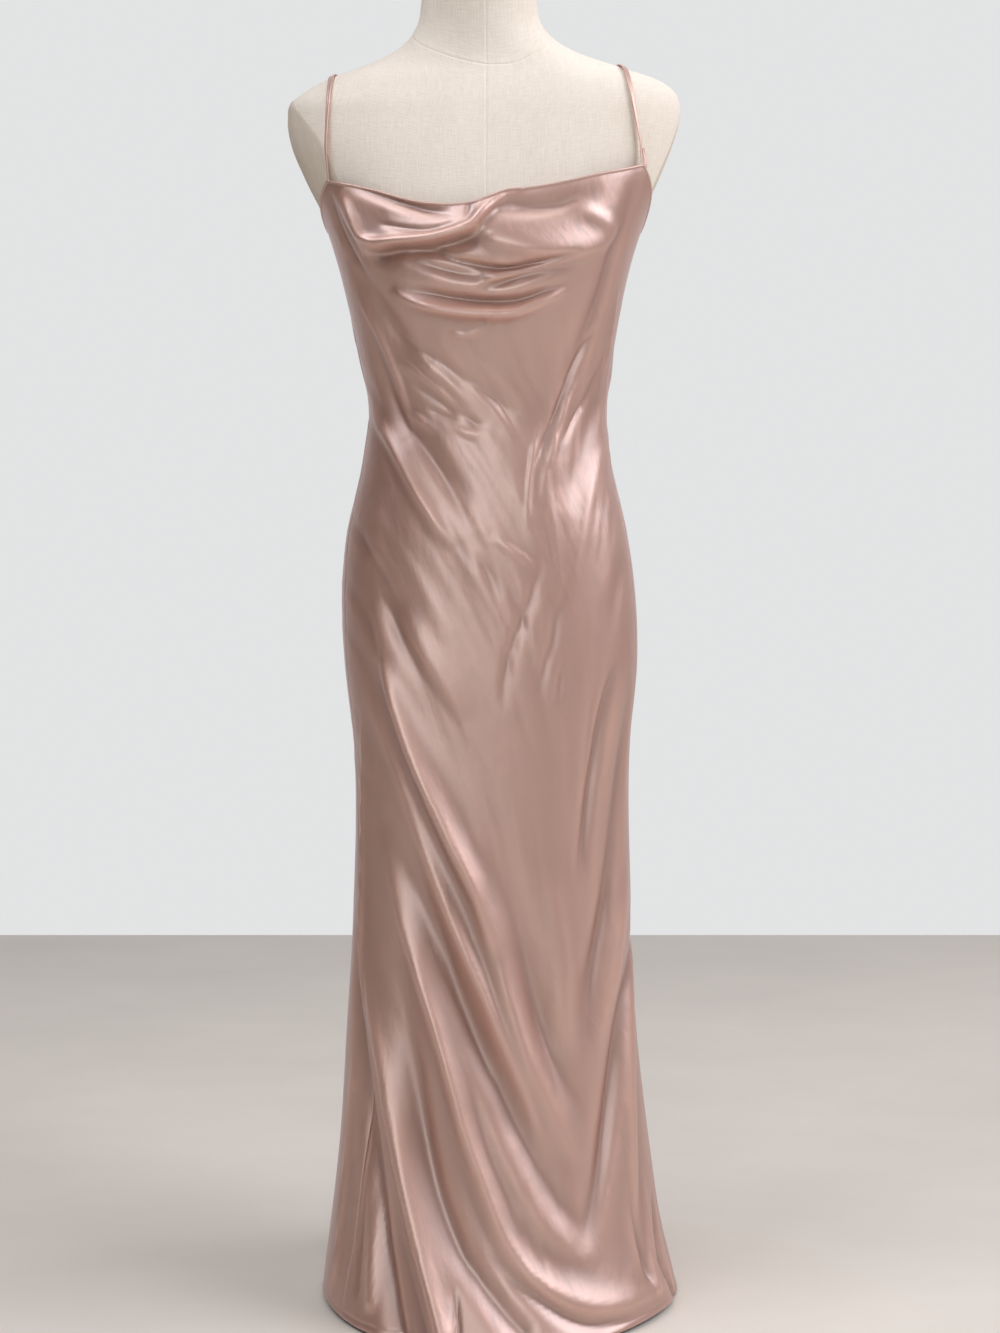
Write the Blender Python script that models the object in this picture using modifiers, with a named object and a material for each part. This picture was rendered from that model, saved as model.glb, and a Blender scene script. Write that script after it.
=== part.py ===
"""A bias-cut satin slip dress standing on a linen dress form.

The form is one smooth torso with shoulder caps and a neck, carried by a pole on a round base.
The dress is a front panel with a draped neckline, a back panel cut straight across, and a
narrow strap over each shoulder. Metres, +Z up, the front of the dress faces -Y.
"""

import math

import bmesh
import bpy
import numpy as np

# Cloth and clearances
WALL = 0.0015
SEAM_GAP = 0.0004
TOUCH = 0.0003

# Dress form, a row for each section from the foot to the neck's top
# height, half width, depth before and behind the pole line, squareness, shift to the right
FORM_SECTIONS = (
    (0.690, 0.1310, 0.080, 0.096, 2.1, 0.000),
    (0.694, 0.1400, 0.090, 0.107, 2.1, 0.000),
    (0.706, 0.1455, 0.096, 0.113, 2.1, 0.000),
    (0.780, 0.1515, 0.101, 0.118, 2.1, 0.000),
    (0.850, 0.1485, 0.099, 0.112, 2.1, 0.000),
    (0.930, 0.1330, 0.093, 0.096, 2.1, 0.000),
    (1.010, 0.1215, 0.087, 0.083, 2.1, 0.000),
    (1.080, 0.1340, 0.097, 0.084, 2.2, 0.000),
    (1.150, 0.1500, 0.116, 0.088, 2.3, 0.000),
    (1.200, 0.1650, 0.122, 0.094, 2.4, 0.000),
    (1.228, 0.1780, 0.117, 0.098, 2.5, -0.002),
    (1.262, 0.1940, 0.106, 0.101, 2.6, -0.003),
    (1.297, 0.2077, 0.094, 0.100, 2.7, -0.003),
    (1.322, 0.2128, 0.085, 0.096, 2.7, -0.001),
    (1.340, 0.2110, 0.078, 0.090, 2.7, 0.001),
    (1.353, 0.2000, 0.072, 0.083, 2.6, 0.006),
    (1.365, 0.1800, 0.066, 0.076, 2.5, 0.008),
    (1.377, 0.1460, 0.060, 0.070, 2.3, 0.007),
    (1.390, 0.1095, 0.056, 0.064, 2.2, 0.002),
    (1.403, 0.0860, 0.054, 0.060, 2.1, -0.002),
    (1.420, 0.0700, 0.053, 0.058, 2.0, -0.005),
    (1.450, 0.0625, 0.053, 0.056, 2.0, -0.006),
    (1.480, 0.0600, 0.053, 0.054, 2.0, -0.006),
    (1.492, 0.0575, 0.051, 0.052, 2.0, -0.006),
    (1.497, 0.0500, 0.044, 0.045, 2.0, -0.006),
)
FORM_RINGS = 42
FORM_SIDES = 34

# Stand
POLE_RADIUS = 0.0125
COLLAR_RADIUS = 0.021
COLLAR_LENGTH = 0.018
PLATE_RADIUS = 0.045
PLATE_THICK = 0.006
BASE_RADIUS = 0.120
BASE_RIM = 0.005
BASE_CROWN = 0.014
BASE_BEVEL = 0.006
HUB_RADIUS = 0.028
HUB_HEIGHT = 0.040
HUB_BEVEL = 0.004
TURNED_STEPS = 32

# Dress, a row for each section of its inner face
# height, reach to the left, right, front and back of the pole line, squareness
DRESS_SECTIONS = (
    (0.000, 0.1865, 0.2195, 0.204, 0.168, 2.10),
    (0.030, 0.1830, 0.2125, 0.189, 0.162, 2.10),
    (0.080, 0.1765, 0.2005, 0.168, 0.153, 2.10),
    (0.175, 0.1655, 0.1860, 0.143, 0.142, 2.10),
    (0.315, 0.1560, 0.1700, 0.124, 0.134, 2.10),
    (0.455, 0.1475, 0.1635, 0.114, 0.128, 2.10),
    (0.640, 0.1465, 0.1615, 0.110, 0.126, 2.15),
    (0.730, 0.1560, 0.1690, 0.110, 0.128, 2.15),
    (0.795, 0.1585, 0.1670, 0.110, 0.128, 2.15),
    (0.870, 0.1525, 0.1570, 0.108, 0.121, 2.15),
    (0.950, 0.1345, 0.1385, 0.102, 0.106, 2.15),
    (1.015, 0.1270, 0.1325, 0.098, 0.095, 2.15),
    (1.062, 0.1357, 0.1380, 0.106, 0.094, 2.20),
    (1.120, 0.1485, 0.1485, 0.124, 0.096, 2.25),
    (1.170, 0.1610, 0.1600, 0.135, 0.099, 2.30),
    (1.210, 0.1740, 0.1730, 0.134, 0.103, 2.40),
    (1.250, 0.1915, 0.1905, 0.122, 0.106, 2.55),
    (1.285, 0.2060, 0.2060, 0.108, 0.106, 2.65),
)

# Side seams
# height, degrees round from the centre front to the left seam and to the right seam
SEAMS = (
    (0.00, -56.0, 84.0),
    (0.14, -57.0, 84.0),
    (0.31, -62.0, 86.0),
    (0.40, -69.0, 86.0),
    (0.62, -80.0, 85.0),
    (0.80, -78.0, 81.0),
    (0.93, -82.0, 83.0),
    (1.02, -86.0, 80.0),
    (1.21, -88.0, 88.0),
)

# Neckline from strap to strap
# degrees from the centre front, height
NECKLINE = (
    (-65.5, 1.2540),
    (-59.0, 1.2507),
    (-50.0, 1.2452),
    (-41.0, 1.2381),
    (-32.0, 1.2318),
    (-22.0, 1.2283),
    (-12.0, 1.2277),
    (-5.0, 1.2300),
    (3.0, 1.2360),
    (10.0, 1.2420),
    (19.0, 1.2442),
    (30.0, 1.2482),
    (40.0, 1.2538),
    (50.0, 1.2607),
    (59.0, 1.2665),
    (65.5, 1.2712),
)
UNDERARM_HEIGHT = 1.206
ARMHOLE_BEND = 1.25
BACK_TOP = 1.196
BACK_DIP = 0.012
BACK_STRAP_DEGREES = 132.0

# Hem
# degrees from the centre front, lift off the floor
HEM_LIFTS = (
    (-180, 0.003),
    (-130, 0.006),
    (-95, 0.002),
    (-70, 0.006),
    (-45, 0.003),
    (-20, 0.002),
    (5, 0.004),
    (35, 0.002),
    (60, 0.006),
    (85, 0.002),
    (120, 0.005),
    (180, 0.003),
)

# Folds, a row for each ridge (rise above 0) or trough (below 0), placed by side and height
# x and z of the start, the middle and the end, half width at the start and the end,
# rise at the start, the middle and the end
FRONT_FOLDS = (
    # draped neckline
    (-0.150, 1.240, -0.080, 1.198, 0.010, 1.220, 0.010, 0.012, 0.002, 0.012, 0.004),
    (-0.128, 1.240, -0.085, 1.225, -0.035, 1.218, 0.008, 0.009, -0.001, -0.010, -0.004),
    (0.008, 1.206, 0.070, 1.194, 0.150, 1.226, 0.014, 0.013, 0.004, 0.011, 0.002),
    (0.020, 1.230, 0.070, 1.225, 0.135, 1.246, 0.010, 0.010, -0.003, -0.010, -0.002),
    (-0.119, 1.178, -0.010, 1.166, 0.102, 1.180, 0.009, 0.009, -0.002, -0.013, -0.002),
    (-0.060, 1.152, 0.005, 1.140, 0.092, 1.166, 0.008, 0.008, -0.002, -0.007, -0.003),
    (-0.096, 1.136, -0.010, 1.108, 0.092, 1.148, 0.010, 0.010, 0.002, 0.013, 0.002),
    # bodice and waist
    (-0.156, 1.180, -0.128, 1.110, -0.091, 1.031, 0.011, 0.011, 0.001, 0.006, 0.001),
    (0.144, 1.195, 0.118, 1.120, 0.080, 1.040, 0.014, 0.014, -0.001, -0.008, -0.001),
    (-0.122, 1.008, -0.080, 0.935, -0.018, 0.855, 0.013, 0.015, 0.001, 0.009, 0.001),
    (-0.100, 1.020, -0.105, 0.930, -0.090, 0.860, 0.014, 0.016, -0.001, -0.004, -0.001),
    # long folds running from the left hip down to the right
    (-0.117, 0.780, -0.048, 0.590, 0.083, 0.222, 0.014, 0.022, 0.001, 0.013, 0.002),
    (-0.125, 0.745, -0.075, 0.560, 0.000, 0.380, 0.014, 0.016, -0.001, -0.009, -0.001),
    (-0.140, 0.617, -0.062, 0.350, 0.070, 0.050, 0.014, 0.026, 0.001, 0.016, 0.012),
    (-0.118, 0.470, -0.085, 0.300, -0.020, 0.090, 0.014, 0.022, -0.001, -0.012, -0.014),
    (-0.139, 0.390, -0.103, 0.210, -0.072, -0.010, 0.012, 0.022, 0.001, 0.015, 0.022),
    (-0.140, 0.300, -0.132, 0.130, -0.134, -0.010, 0.014, 0.030, -0.002, -0.020, -0.045),
    (-0.030, 0.230, 0.005, 0.110, 0.020, -0.010, 0.016, 0.024, -0.001, -0.009, -0.010),
    # right side of the skirt
    (0.142, 0.730, 0.116, 0.600, 0.105, 0.490, 0.018, 0.018, -0.001, -0.009, -0.001),
    (0.144, 0.470, 0.126, 0.400, 0.112, 0.340, 0.014, 0.014, -0.001, -0.007, -0.001),
    (0.158, 0.380, 0.140, 0.240, 0.112, 0.100, 0.016, 0.024, -0.001, -0.014, -0.003),
    (0.168, 0.250, 0.155, 0.160, 0.140, 0.050, 0.014, 0.020, 0.001, 0.010, 0.006),
    (0.162, 0.160, 0.176, 0.070, 0.184, -0.010, 0.014, 0.018, -0.002, -0.012, -0.016),
)
BACK_FOLDS = (
    (-0.120, 0.800, -0.080, 0.560, -0.040, 0.240, 0.016, 0.024, 0.001, 0.011, 0.003),
    (0.125, 0.790, 0.100, 0.520, 0.060, 0.200, 0.016, 0.024, 0.001, 0.011, 0.003),
    (-0.125, 0.520, -0.105, 0.260, -0.090, -0.010, 0.016, 0.028, 0.001, 0.014, 0.018),
    (-0.020, 0.620, 0.010, 0.320, 0.000, -0.010, 0.016, 0.028, 0.001, 0.011, 0.016),
    (0.130, 0.500, 0.120, 0.250, 0.110, -0.010, 0.016, 0.028, 0.001, 0.013, 0.017),
    (-0.070, 0.460, -0.045, 0.220, -0.042, -0.010, 0.016, 0.026, -0.001, -0.011, -0.016),
    (0.065, 0.460, 0.058, 0.220, 0.054, -0.010, 0.016, 0.026, -0.001, -0.011, -0.016),
    (0.160, 0.340, 0.165, 0.160, 0.168, -0.010, 0.014, 0.024, -0.001, -0.010, -0.016),
    (-0.150, 0.360, -0.148, 0.160, -0.146, -0.010, 0.014, 0.022, -0.001, -0.010, -0.014),
    (-0.105, 1.010, -0.060, 0.975, 0.000, 0.965, 0.012, 0.012, 0.001, 0.006, 0.001),
    (0.105, 1.000, 0.055, 0.962, -0.010, 0.945, 0.012, 0.012, 0.001, 0.006, 0.001),
)

# Straps between the neckline's corners and the back's edge
# side position, degrees over the shoulder (0 faces front, 90 up, 180 back), lift off the form
LEFT_ROUTE = (
    (-0.1672, 15.0, 0.0050),
    (-0.1668, 40.0, 0.0030),
    (-0.1655, 65.0, 0.0017),
    (-0.1640, 90.0, 0.0016),
    (-0.1600, 115.0, 0.0018),
    (-0.1500, 145.0, 0.0026),
    (-0.1330, 175.0, 0.0030),
    (-0.1160, 197.0, 0.0040),
)
RIGHT_ROUTE = (
    (0.1645, 20.0, 0.0045),
    (0.1595, 42.0, 0.0030),
    (0.1525, 67.0, 0.0020),
    (0.1478, 90.0, 0.0021),
    (0.1440, 115.0, 0.0021),
    (0.1370, 145.0, 0.0024),
    (0.1260, 175.0, 0.0028),
    (0.1140, 197.0, 0.0040),
)
# part of the strap's length, width, degrees that it turns out of the form's surface
STRAP_SHAPE = (
    (0.00, 0.0050, 50.0),
    (0.12, 0.0052, 44.0),
    (0.25, 0.0066, 26.0),
    (0.38, 0.0086, 4.0),
    (0.50, 0.0090, 0.0),
    (0.75, 0.0080, 0.0),
    (1.00, 0.0070, 0.0),
)
STRAP_PIVOT = 1.270
STRAP_THICK = 0.0015
STRAP_SIDES = 8
STRAP_STEPS = 40
NECK_ROOM = 0.0005
BACK_ROOM = 0.0018

# Mesh rows and columns of the panels, with a narrow column beside each side seam
ARMHOLE_PARTS = (0.0, 0.05, 0.35, 0.68, 1.0)
BACK_SEAM_COLUMN = 0.006
NECKLINE_STEPS = 32
BACK_STEPS = 26
SKIRT_ROWS = 15
SKIRT_TOP = 0.60
HIP_ROWS = 9
HIP_TOP = 0.86
FRONT_TOP_ROWS = 16
BACK_TOP_ROWS = 6


def smooth(table, at):
    """Every column of a table after its first, on a smooth curve through the rows."""
    table = np.asarray(table, dtype=float)
    knots = table[:, 0]
    slopes = np.gradient(table, knots, axis=0)
    at = np.clip(np.asarray(at, dtype=float), knots[0], knots[-1])
    row = np.clip(np.searchsorted(knots, at, side="right") - 1, 0, len(knots) - 2)
    span = knots[row + 1] - knots[row]
    t = ((at - knots[row]) / span)[..., None]
    span = span[..., None]
    return (
        (1 + 2 * t) * (1 - t) ** 2 * table[row]
        + t * (1 - t) ** 2 * span * slopes[row]
        + t**2 * (3 - 2 * t) * table[row + 1]
        + t**2 * (t - 1) * span * slopes[row + 1]
    )[..., 1:]


def ring(left, right, front, back, squareness, degrees):
    """A point on a rounded section, at an angle from the centre front towards +X."""
    angle = np.radians(degrees)
    across, forward = np.sin(angle), np.cos(angle)
    half_width = np.where(across < 0, left, right)
    depth = np.where(forward > 0, front, back)
    stretch = (np.abs(across) / half_width) ** squareness + (np.abs(forward) / depth) ** squareness
    radius = stretch ** (-1 / squareness)
    return radius * across, -radius * forward


def form_point(height, degrees):
    """A point on the dress form's surface."""
    half, front, back, squareness, centre = np.moveaxis(smooth(FORM_SECTIONS, height), -1, 0)
    x, y = ring(half, half, front, back, squareness, degrees)
    return np.stack(np.broadcast_arrays(x + centre, y, height), -1)


def cloth_point(height, degrees):
    """A point on the dress's inner face before its folds."""
    left, right, front, back, squareness = np.moveaxis(smooth(DRESS_SECTIONS, height), -1, 0)
    x, y = ring(left, right, front, back, squareness, degrees)
    return np.stack(np.broadcast_arrays(x, y, height), -1)


def cloth_normal(height, degrees):
    """The level outward direction of the dress there."""
    along = cloth_point(height, degrees + 0.5) - cloth_point(height, degrees - 0.5)
    normal = np.stack((along[..., 1], -along[..., 0], np.zeros(along.shape[:-1])), -1)
    return normal / np.linalg.norm(normal, axis=-1, keepdims=True)


def degrees_at(x, height, back):
    """The angle at which the dress passes a side position, on its front or its back."""
    degrees = np.linspace(-90, 90, 181)
    if back:
        degrees = 180 - degrees
    across = cloth_point(np.full_like(degrees, height), degrees)[:, 0]
    return float(np.interp(x, across, degrees))


def fold_rise(points, fold, back):
    """How far one fold lifts each point off the smooth cloth."""
    x1, z1, x2, z2, x3, z3, width1, width3, rise1, rise2, rise3 = fold
    steps = np.linspace(0, 1, 25)
    bend_x = 2 * x2 - (x1 + x3) / 2
    bend_z = 2 * z2 - (z1 + z3) / 2
    path_x = (1 - steps) ** 2 * x1 + 2 * steps * (1 - steps) * bend_x + steps**2 * x3
    path_z = (1 - steps) ** 2 * z1 + 2 * steps * (1 - steps) * bend_z + steps**2 * z3
    path = np.array([cloth_point(z, degrees_at(x, z, back)) for x, z in zip(path_x, path_z)])
    path[:, 2] = path_z
    start, run = path[:-1], np.diff(path, axis=0)
    offset = points[:, None] - start[None]
    along = np.clip((offset * run).sum(-1) / (run * run).sum(-1), 0, 1)
    distance = np.linalg.norm(offset - along[..., None] * run, axis=-1)
    nearest = distance.argmin(axis=1)
    rows = np.arange(len(points))
    travelled = (nearest + along[rows, nearest]) / (len(steps) - 1)
    half_width = width1 + (width3 - width1) * travelled
    rise = np.interp(travelled, (0, 0.5, 1), (rise1, rise2, rise3))
    return rise * np.exp(-((distance[rows, nearest] / half_width) ** 2))


def folded_cloth(heights, degrees):
    """The dress's inner face, pressed into its folds."""
    points = cloth_point(heights, degrees)
    normals = cloth_normal(heights, degrees)
    flat = points.reshape(-1, 3)
    rise = np.zeros(len(flat))
    for folds, back in ((FRONT_FOLDS, False), (BACK_FOLDS, True)):
        for fold in folds:
            rise += fold_rise(flat, fold, back)
    return points + normals * rise.reshape(heights.shape)[..., None]


def hem_height(degrees):
    wrapped = (np.asarray(degrees) + 180) % 360 - 180
    return smooth(HEM_LIFTS, wrapped)[..., 0]


def armhole_height(part, corner):
    """The edge from the underarm, where part is 0, up to the strap, where part is 1."""
    return UNDERARM_HEIGHT + (corner - UNDERARM_HEIGHT) * part**ARMHOLE_BEND


def row_fractions(top):
    """Heights of the mesh rows as parts of a panel: wider apart on the skirt than above."""
    skirt = np.linspace(0, SKIRT_TOP, SKIRT_ROWS)[:-1]
    hip = np.linspace(SKIRT_TOP, HIP_TOP, HIP_ROWS)[:-1]
    return np.concatenate((skirt, hip, np.linspace(HIP_TOP, 1, top)))


def front_grid():
    """Heights and angles of the front panel's mesh, a row for each height."""
    left_corner, right_corner = NECKLINE[0], NECKLINE[-1]
    left_seam, right_seam = smooth(SEAMS, UNDERARM_HEIGHT)
    part = np.array(ARMHOLE_PARTS)
    neck_degrees = np.linspace(left_corner[0], right_corner[0], NECKLINE_STEPS + 1)
    top_degrees = np.concatenate((
        (left_seam + (left_corner[0] - left_seam) * part)[:-1],
        neck_degrees,
        (right_seam + (right_corner[0] - right_seam) * part)[-2::-1],
    ))
    top_heights = np.concatenate((
        armhole_height(part, left_corner[1])[:-1],
        smooth(NECKLINE, neck_degrees)[:, 0],
        armhole_height(part, right_corner[1])[-2::-1],
    ))
    across = (top_degrees - left_seam) / (right_seam - left_seam)
    return panel_grid(top_heights, across, False)


def back_top_height(across):
    """The back's upper edge, where across runs from 0 to 1 between the side seams."""
    middle = np.sin(across * math.pi)
    return UNDERARM_HEIGHT - (UNDERARM_HEIGHT - BACK_TOP) * middle**0.5 - BACK_DIP * middle**4


def back_grid():
    """Heights and angles of the back panel's mesh, cut almost straight across its top."""
    even = np.linspace(0, 1, BACK_STEPS + 1)
    across = np.concatenate((even[:1], [BACK_SEAM_COLUMN], even[1:-1], [1 - BACK_SEAM_COLUMN], even[-1:]))
    return panel_grid(back_top_height(across), across, True)


def panel_grid(top_heights, across, back):
    fractions = row_fractions(BACK_TOP_ROWS if back else FRONT_TOP_ROWS)[:, None]
    heights = fractions * top_heights[None]
    for _ in range(2):
        seams = smooth(SEAMS, heights)
        start, end = seams[..., 0], seams[..., 1]
        if back:
            start, end = end, start + 360
        degrees = start + (end - start) * across
        heights = hem_height(degrees[:1]) * (1 - fractions) + top_heights * fractions
    return heights, degrees


def panel_mesh(name, back):
    """One panel as an open surface, its side edges drawn back from the seam line."""
    heights, degrees = back_grid() if back else front_grid()
    points = folded_cloth(heights, degrees)
    for edge, inner in ((0, 1), (-1, -2)):
        inward = points[:, inner] - points[:, edge]
        inward = inward / np.linalg.norm(inward, axis=-1, keepdims=True)
        points[:, edge] += inward * SEAM_GAP / 2
    return loft(name, points, closed=False)


def loft(name, rows, closed):
    """A surface through rows of points; closed rows become a solid with flat ends."""
    mesh = bmesh.new()
    grid = [[mesh.verts.new(point) for point in row] for row in rows]
    count = len(grid[0])
    for below, above in zip(grid, grid[1:]):
        for i in range(count if closed else count - 1):
            j = (i + 1) % count
            mesh.faces.new((below[i], below[j], above[j], above[i]))
    if closed:
        mesh.faces.new(grid[0][::-1])
        mesh.faces.new(grid[-1])
    return mesh_object(name, mesh)


def mesh_object(name, mesh):
    data = bpy.data.meshes.new(name)
    mesh.to_mesh(data)
    mesh.free()
    data.shade_smooth()
    obj = bpy.data.objects.new(name, data)
    dress_and_form.objects.link(obj)
    return obj


def finish(obj, base_color, roughness, metallic=0.0):
    """Gives a piece a material of its own."""
    material = bpy.data.materials.new(obj.name)
    material.use_nodes = True
    shader = material.node_tree.nodes["Principled BSDF"]
    shader.inputs["Base Color"].default_value = (*base_color, 1.0)
    shader.inputs["Roughness"].default_value = roughness
    shader.inputs["Metallic"].default_value = metallic
    obj.data.materials.append(material)
    return obj


def make_form():
    """Torso, shoulder caps and neck as one smooth closed body."""
    foot = [row[0] for row in FORM_SECTIONS[:3]]
    neck = [row[0] for row in FORM_SECTIONS[-3:]]
    between = np.linspace(foot[-1], neck[0], FORM_RINGS - 4)[1:-1]
    heights = np.concatenate((foot, between, neck))
    degrees = np.linspace(-180, 180, FORM_SIDES + 1)[:-1]
    rows = form_point(heights[:, None], degrees[None])
    return finish(loft("form_torso", rows, closed=True), (0.78, 0.72, 0.64), 0.85)


def make_panel(name, back):
    panel = panel_mesh(name, back)
    wall = panel.modifiers.new("wall", "SOLIDIFY")
    wall.thickness = WALL
    wall.offset = 1.0
    return finish(panel, (0.46, 0.27, 0.24), 0.32)


def form_measure(x, y, z):
    """Less than 1 inside the form, 1 on its surface and more outside."""
    half, front, back, squareness, centre = np.moveaxis(smooth(FORM_SECTIONS, z), -1, 0)
    depth = np.where(y < 0, front, back)
    return (np.abs(x - centre) / half) ** squareness + (np.abs(y) / depth) ** squareness


def form_outward(point, step=0.0005):
    """The direction straight out of the form at a point near its surface."""
    moves = np.eye(3) * step
    slope = [form_measure(*(point + move)) - form_measure(*(point - move)) for move in moves]
    return np.array(slope) / np.linalg.norm(slope)


def over_shoulder(side, over, lift):
    """A point of a strap's route, found on the form's surface and lifted off it."""
    direction = np.array((0.0, -math.cos(math.radians(over)), math.sin(math.radians(over))))
    pivot = np.array((side, 0.0, STRAP_PIVOT))
    reach = np.linspace(0.02, 0.16, 561)
    probes = pivot + reach[:, None] * direction
    surface = probes[form_measure(*probes.T) < 1][-1]
    return surface + form_outward(surface) * lift


def edge_point(height, degrees, room):
    """The middle of a panel's wall at its upper edge, with room for a strap's end above."""
    height, degrees = np.array([height]), np.array([degrees])
    middle = folded_cloth(height, degrees) + cloth_normal(height, degrees) * WALL / 2
    return middle[0] + np.array((0.0, 0.0, room))


def strap_middles(route, corner, back_degrees):
    """The strap's centre line: straight from each edge to the shoulder, close over it."""
    left_seam, right_seam = smooth(SEAMS, UNDERARM_HEIGHT)
    across = (back_degrees % 360 - right_seam) / (left_seam + 360 - right_seam)
    numbered = [(i, *row) for i, row in enumerate(route)]
    steps = np.linspace(0, len(route) - 1, STRAP_STEPS)
    points = [edge_point(corner[1], corner[0], NECK_ROOM)]
    points += [over_shoulder(*row) for row in smooth(numbered, steps)]
    points += [edge_point(back_top_height(across), back_degrees, BACK_ROOM)]
    points = np.array(points)
    travelled = np.concatenate(([0], np.cumsum(np.linalg.norm(np.diff(points, axis=0), axis=1))))
    even = np.linspace(0, travelled[-1], STRAP_STEPS)
    return np.stack([np.interp(even, travelled, points[:, i]) for i in range(3)], -1)


def make_strap(name, route, corner, back_degrees):
    """A flat strap over the shoulder, turned on edge where it meets the neckline."""
    middles = strap_middles(route, corner, back_degrees)
    tangents = np.gradient(middles, axis=0)
    tangents /= np.linalg.norm(tangents, axis=-1, keepdims=True)
    around = np.linspace(0, 2 * math.pi, STRAP_SIDES + 1)[:-1, None]
    shape = smooth(STRAP_SHAPE, np.linspace(0, 1, STRAP_STEPS))
    rows = []
    for middle, tangent, (width, turn) in zip(middles, tangents, shape):
        outward = form_outward(middle)
        sideways = np.cross(outward, tangent)
        sideways /= np.linalg.norm(sideways)
        outward = np.cross(tangent, sideways)
        turn = math.radians(turn) * math.copysign(1, corner[0])
        flat = sideways * math.cos(turn) + outward * math.sin(turn)
        proud = outward * math.cos(turn) - sideways * math.sin(turn)
        rows.append(middle + flat * width / 2 * np.cos(around) + proud * STRAP_THICK / 2 * np.sin(around))
    return finish(loft(name, rows, closed=True), (0.52, 0.33, 0.30), 0.32)


def turned(name, profile):
    """A round piece turned from a profile of (radius, height), top to bottom."""
    mesh = bmesh.new()
    points = [mesh.verts.new((radius, 0, height)) for radius, height in profile]
    for upper, lower in zip(points, points[1:]):
        mesh.edges.new((upper, lower))
    obj = mesh_object(name, mesh)
    spin = obj.modifiers.new("turn", "SCREW")
    spin.steps = spin.render_steps = TURNED_STEPS
    spin.use_merge_vertices = True
    spin.merge_threshold = 0.00005
    return obj


def make_base():
    """A round base, crowned towards a raised hub."""
    base = turned("stand_base", (
        (0, HUB_HEIGHT),
        (HUB_RADIUS - HUB_BEVEL, HUB_HEIGHT),
        (HUB_RADIUS, HUB_HEIGHT - HUB_BEVEL),
        (HUB_RADIUS + HUB_BEVEL, BASE_CROWN + HUB_BEVEL * 2),
        (HUB_RADIUS + HUB_BEVEL * 6, BASE_CROWN),
        (BASE_RADIUS - BASE_BEVEL, BASE_RIM + BASE_BEVEL / 2),
        (BASE_RADIUS, BASE_RIM),
        (BASE_RADIUS, 0),
        (0, 0),
    ))
    finish(base, (0.03, 0.03, 0.032), 0.4, 0.6)


def make_pole():
    """A steel pole with a collar and a plate under the torso."""
    top = FORM_SECTIONS[0][0] - TOUCH
    plate_foot = top - PLATE_THICK
    pole = turned("stand_pole", (
        (0, top),
        (PLATE_RADIUS, top),
        (PLATE_RADIUS, plate_foot),
        (COLLAR_RADIUS, plate_foot - TOUCH),
        (COLLAR_RADIUS, plate_foot - COLLAR_LENGTH),
        (POLE_RADIUS, plate_foot - COLLAR_LENGTH),
        (POLE_RADIUS, HUB_HEIGHT + TOUCH),
        (0, HUB_HEIGHT + TOUCH),
    ))
    finish(pole, (0.55, 0.55, 0.56), 0.3, 1.0)


for old in list(bpy.data.objects):
    bpy.data.objects.remove(old, do_unlink=True)
dress_and_form = bpy.data.collections.new("slip dress on dress form")
bpy.context.scene.collection.children.link(dress_and_form)

make_form()
make_pole()
make_base()
make_panel("dress_front", False)
make_panel("dress_back", True)
make_strap("strap_left", LEFT_ROUTE, NECKLINE[0], -BACK_STRAP_DEGREES)
make_strap("strap_right", RIGHT_ROUTE, NECKLINE[-1], BACK_STRAP_DEGREES)
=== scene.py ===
import math

import bpy
import numpy as np
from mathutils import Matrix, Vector


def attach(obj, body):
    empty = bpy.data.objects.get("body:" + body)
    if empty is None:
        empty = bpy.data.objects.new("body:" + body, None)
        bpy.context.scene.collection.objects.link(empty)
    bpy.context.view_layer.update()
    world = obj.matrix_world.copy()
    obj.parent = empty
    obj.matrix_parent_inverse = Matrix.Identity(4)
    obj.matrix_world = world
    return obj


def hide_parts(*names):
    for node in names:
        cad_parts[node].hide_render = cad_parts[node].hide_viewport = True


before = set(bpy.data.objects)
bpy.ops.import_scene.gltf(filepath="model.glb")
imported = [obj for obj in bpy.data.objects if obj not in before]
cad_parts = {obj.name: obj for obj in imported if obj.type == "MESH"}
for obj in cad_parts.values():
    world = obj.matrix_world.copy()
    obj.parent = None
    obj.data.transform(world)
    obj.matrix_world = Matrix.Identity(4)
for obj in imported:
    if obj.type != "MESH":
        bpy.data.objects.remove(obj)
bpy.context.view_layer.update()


# Studio: a camera at the dress's front, a plain pale floor that ends behind the dress, a pale
# grey surround, and soft lights from above and from the front right.

EYE = (0.0167, -3.0, 1.10)
EYE_DOWN_DEGREES = 7.2
LENS_MM = 72.9
FLOOR_END = 1.81
FLOOR_HALF_WIDTH = 5.0
FLOOR_COLORS = (0.70, 0.645, 0.575), (0.83, 0.77, 0.69)
WALL_COLOR = (0.765, 0.770, 0.775)
ROOM_COLOR = (0.035, 0.035, 0.038)
# how far backward a direction points where the wall's light starts and where it is full
WALL_LIGHT_FROM, WALL_LIGHT_TO = 0.3, 0.9
LIGHT_AIM = (0, 0, 0.75)
# name, place, width and height, power, colour
SOFT_LIGHTS = (
    ("key_light", (2.80, -0.76, 2.87), (2.8, 2.8), 108, (0.985, 0.975, 1.04)),
    ("left_light", (-1.65, -0.95, 3.55), (2.0, 1.5), 42, (0.975, 0.98, 1.05)),
    ("top_light", (0.0, -0.3, 4.1), (1.3, 1.3), 21, (1, 1, 1)),
    ("front_light", (-0.3, -3.4, 1.5), (1.6, 1.0), 26, (1, 1, 1)),
)

bpy.context.scene.view_settings.view_transform = "Standard"


def in_scene(name, data):
    """An object for a camera, a lamp or a mesh, put in the scene."""
    thing = bpy.data.objects.new(name, data)
    bpy.context.scene.collection.objects.link(thing)
    return thing


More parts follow.
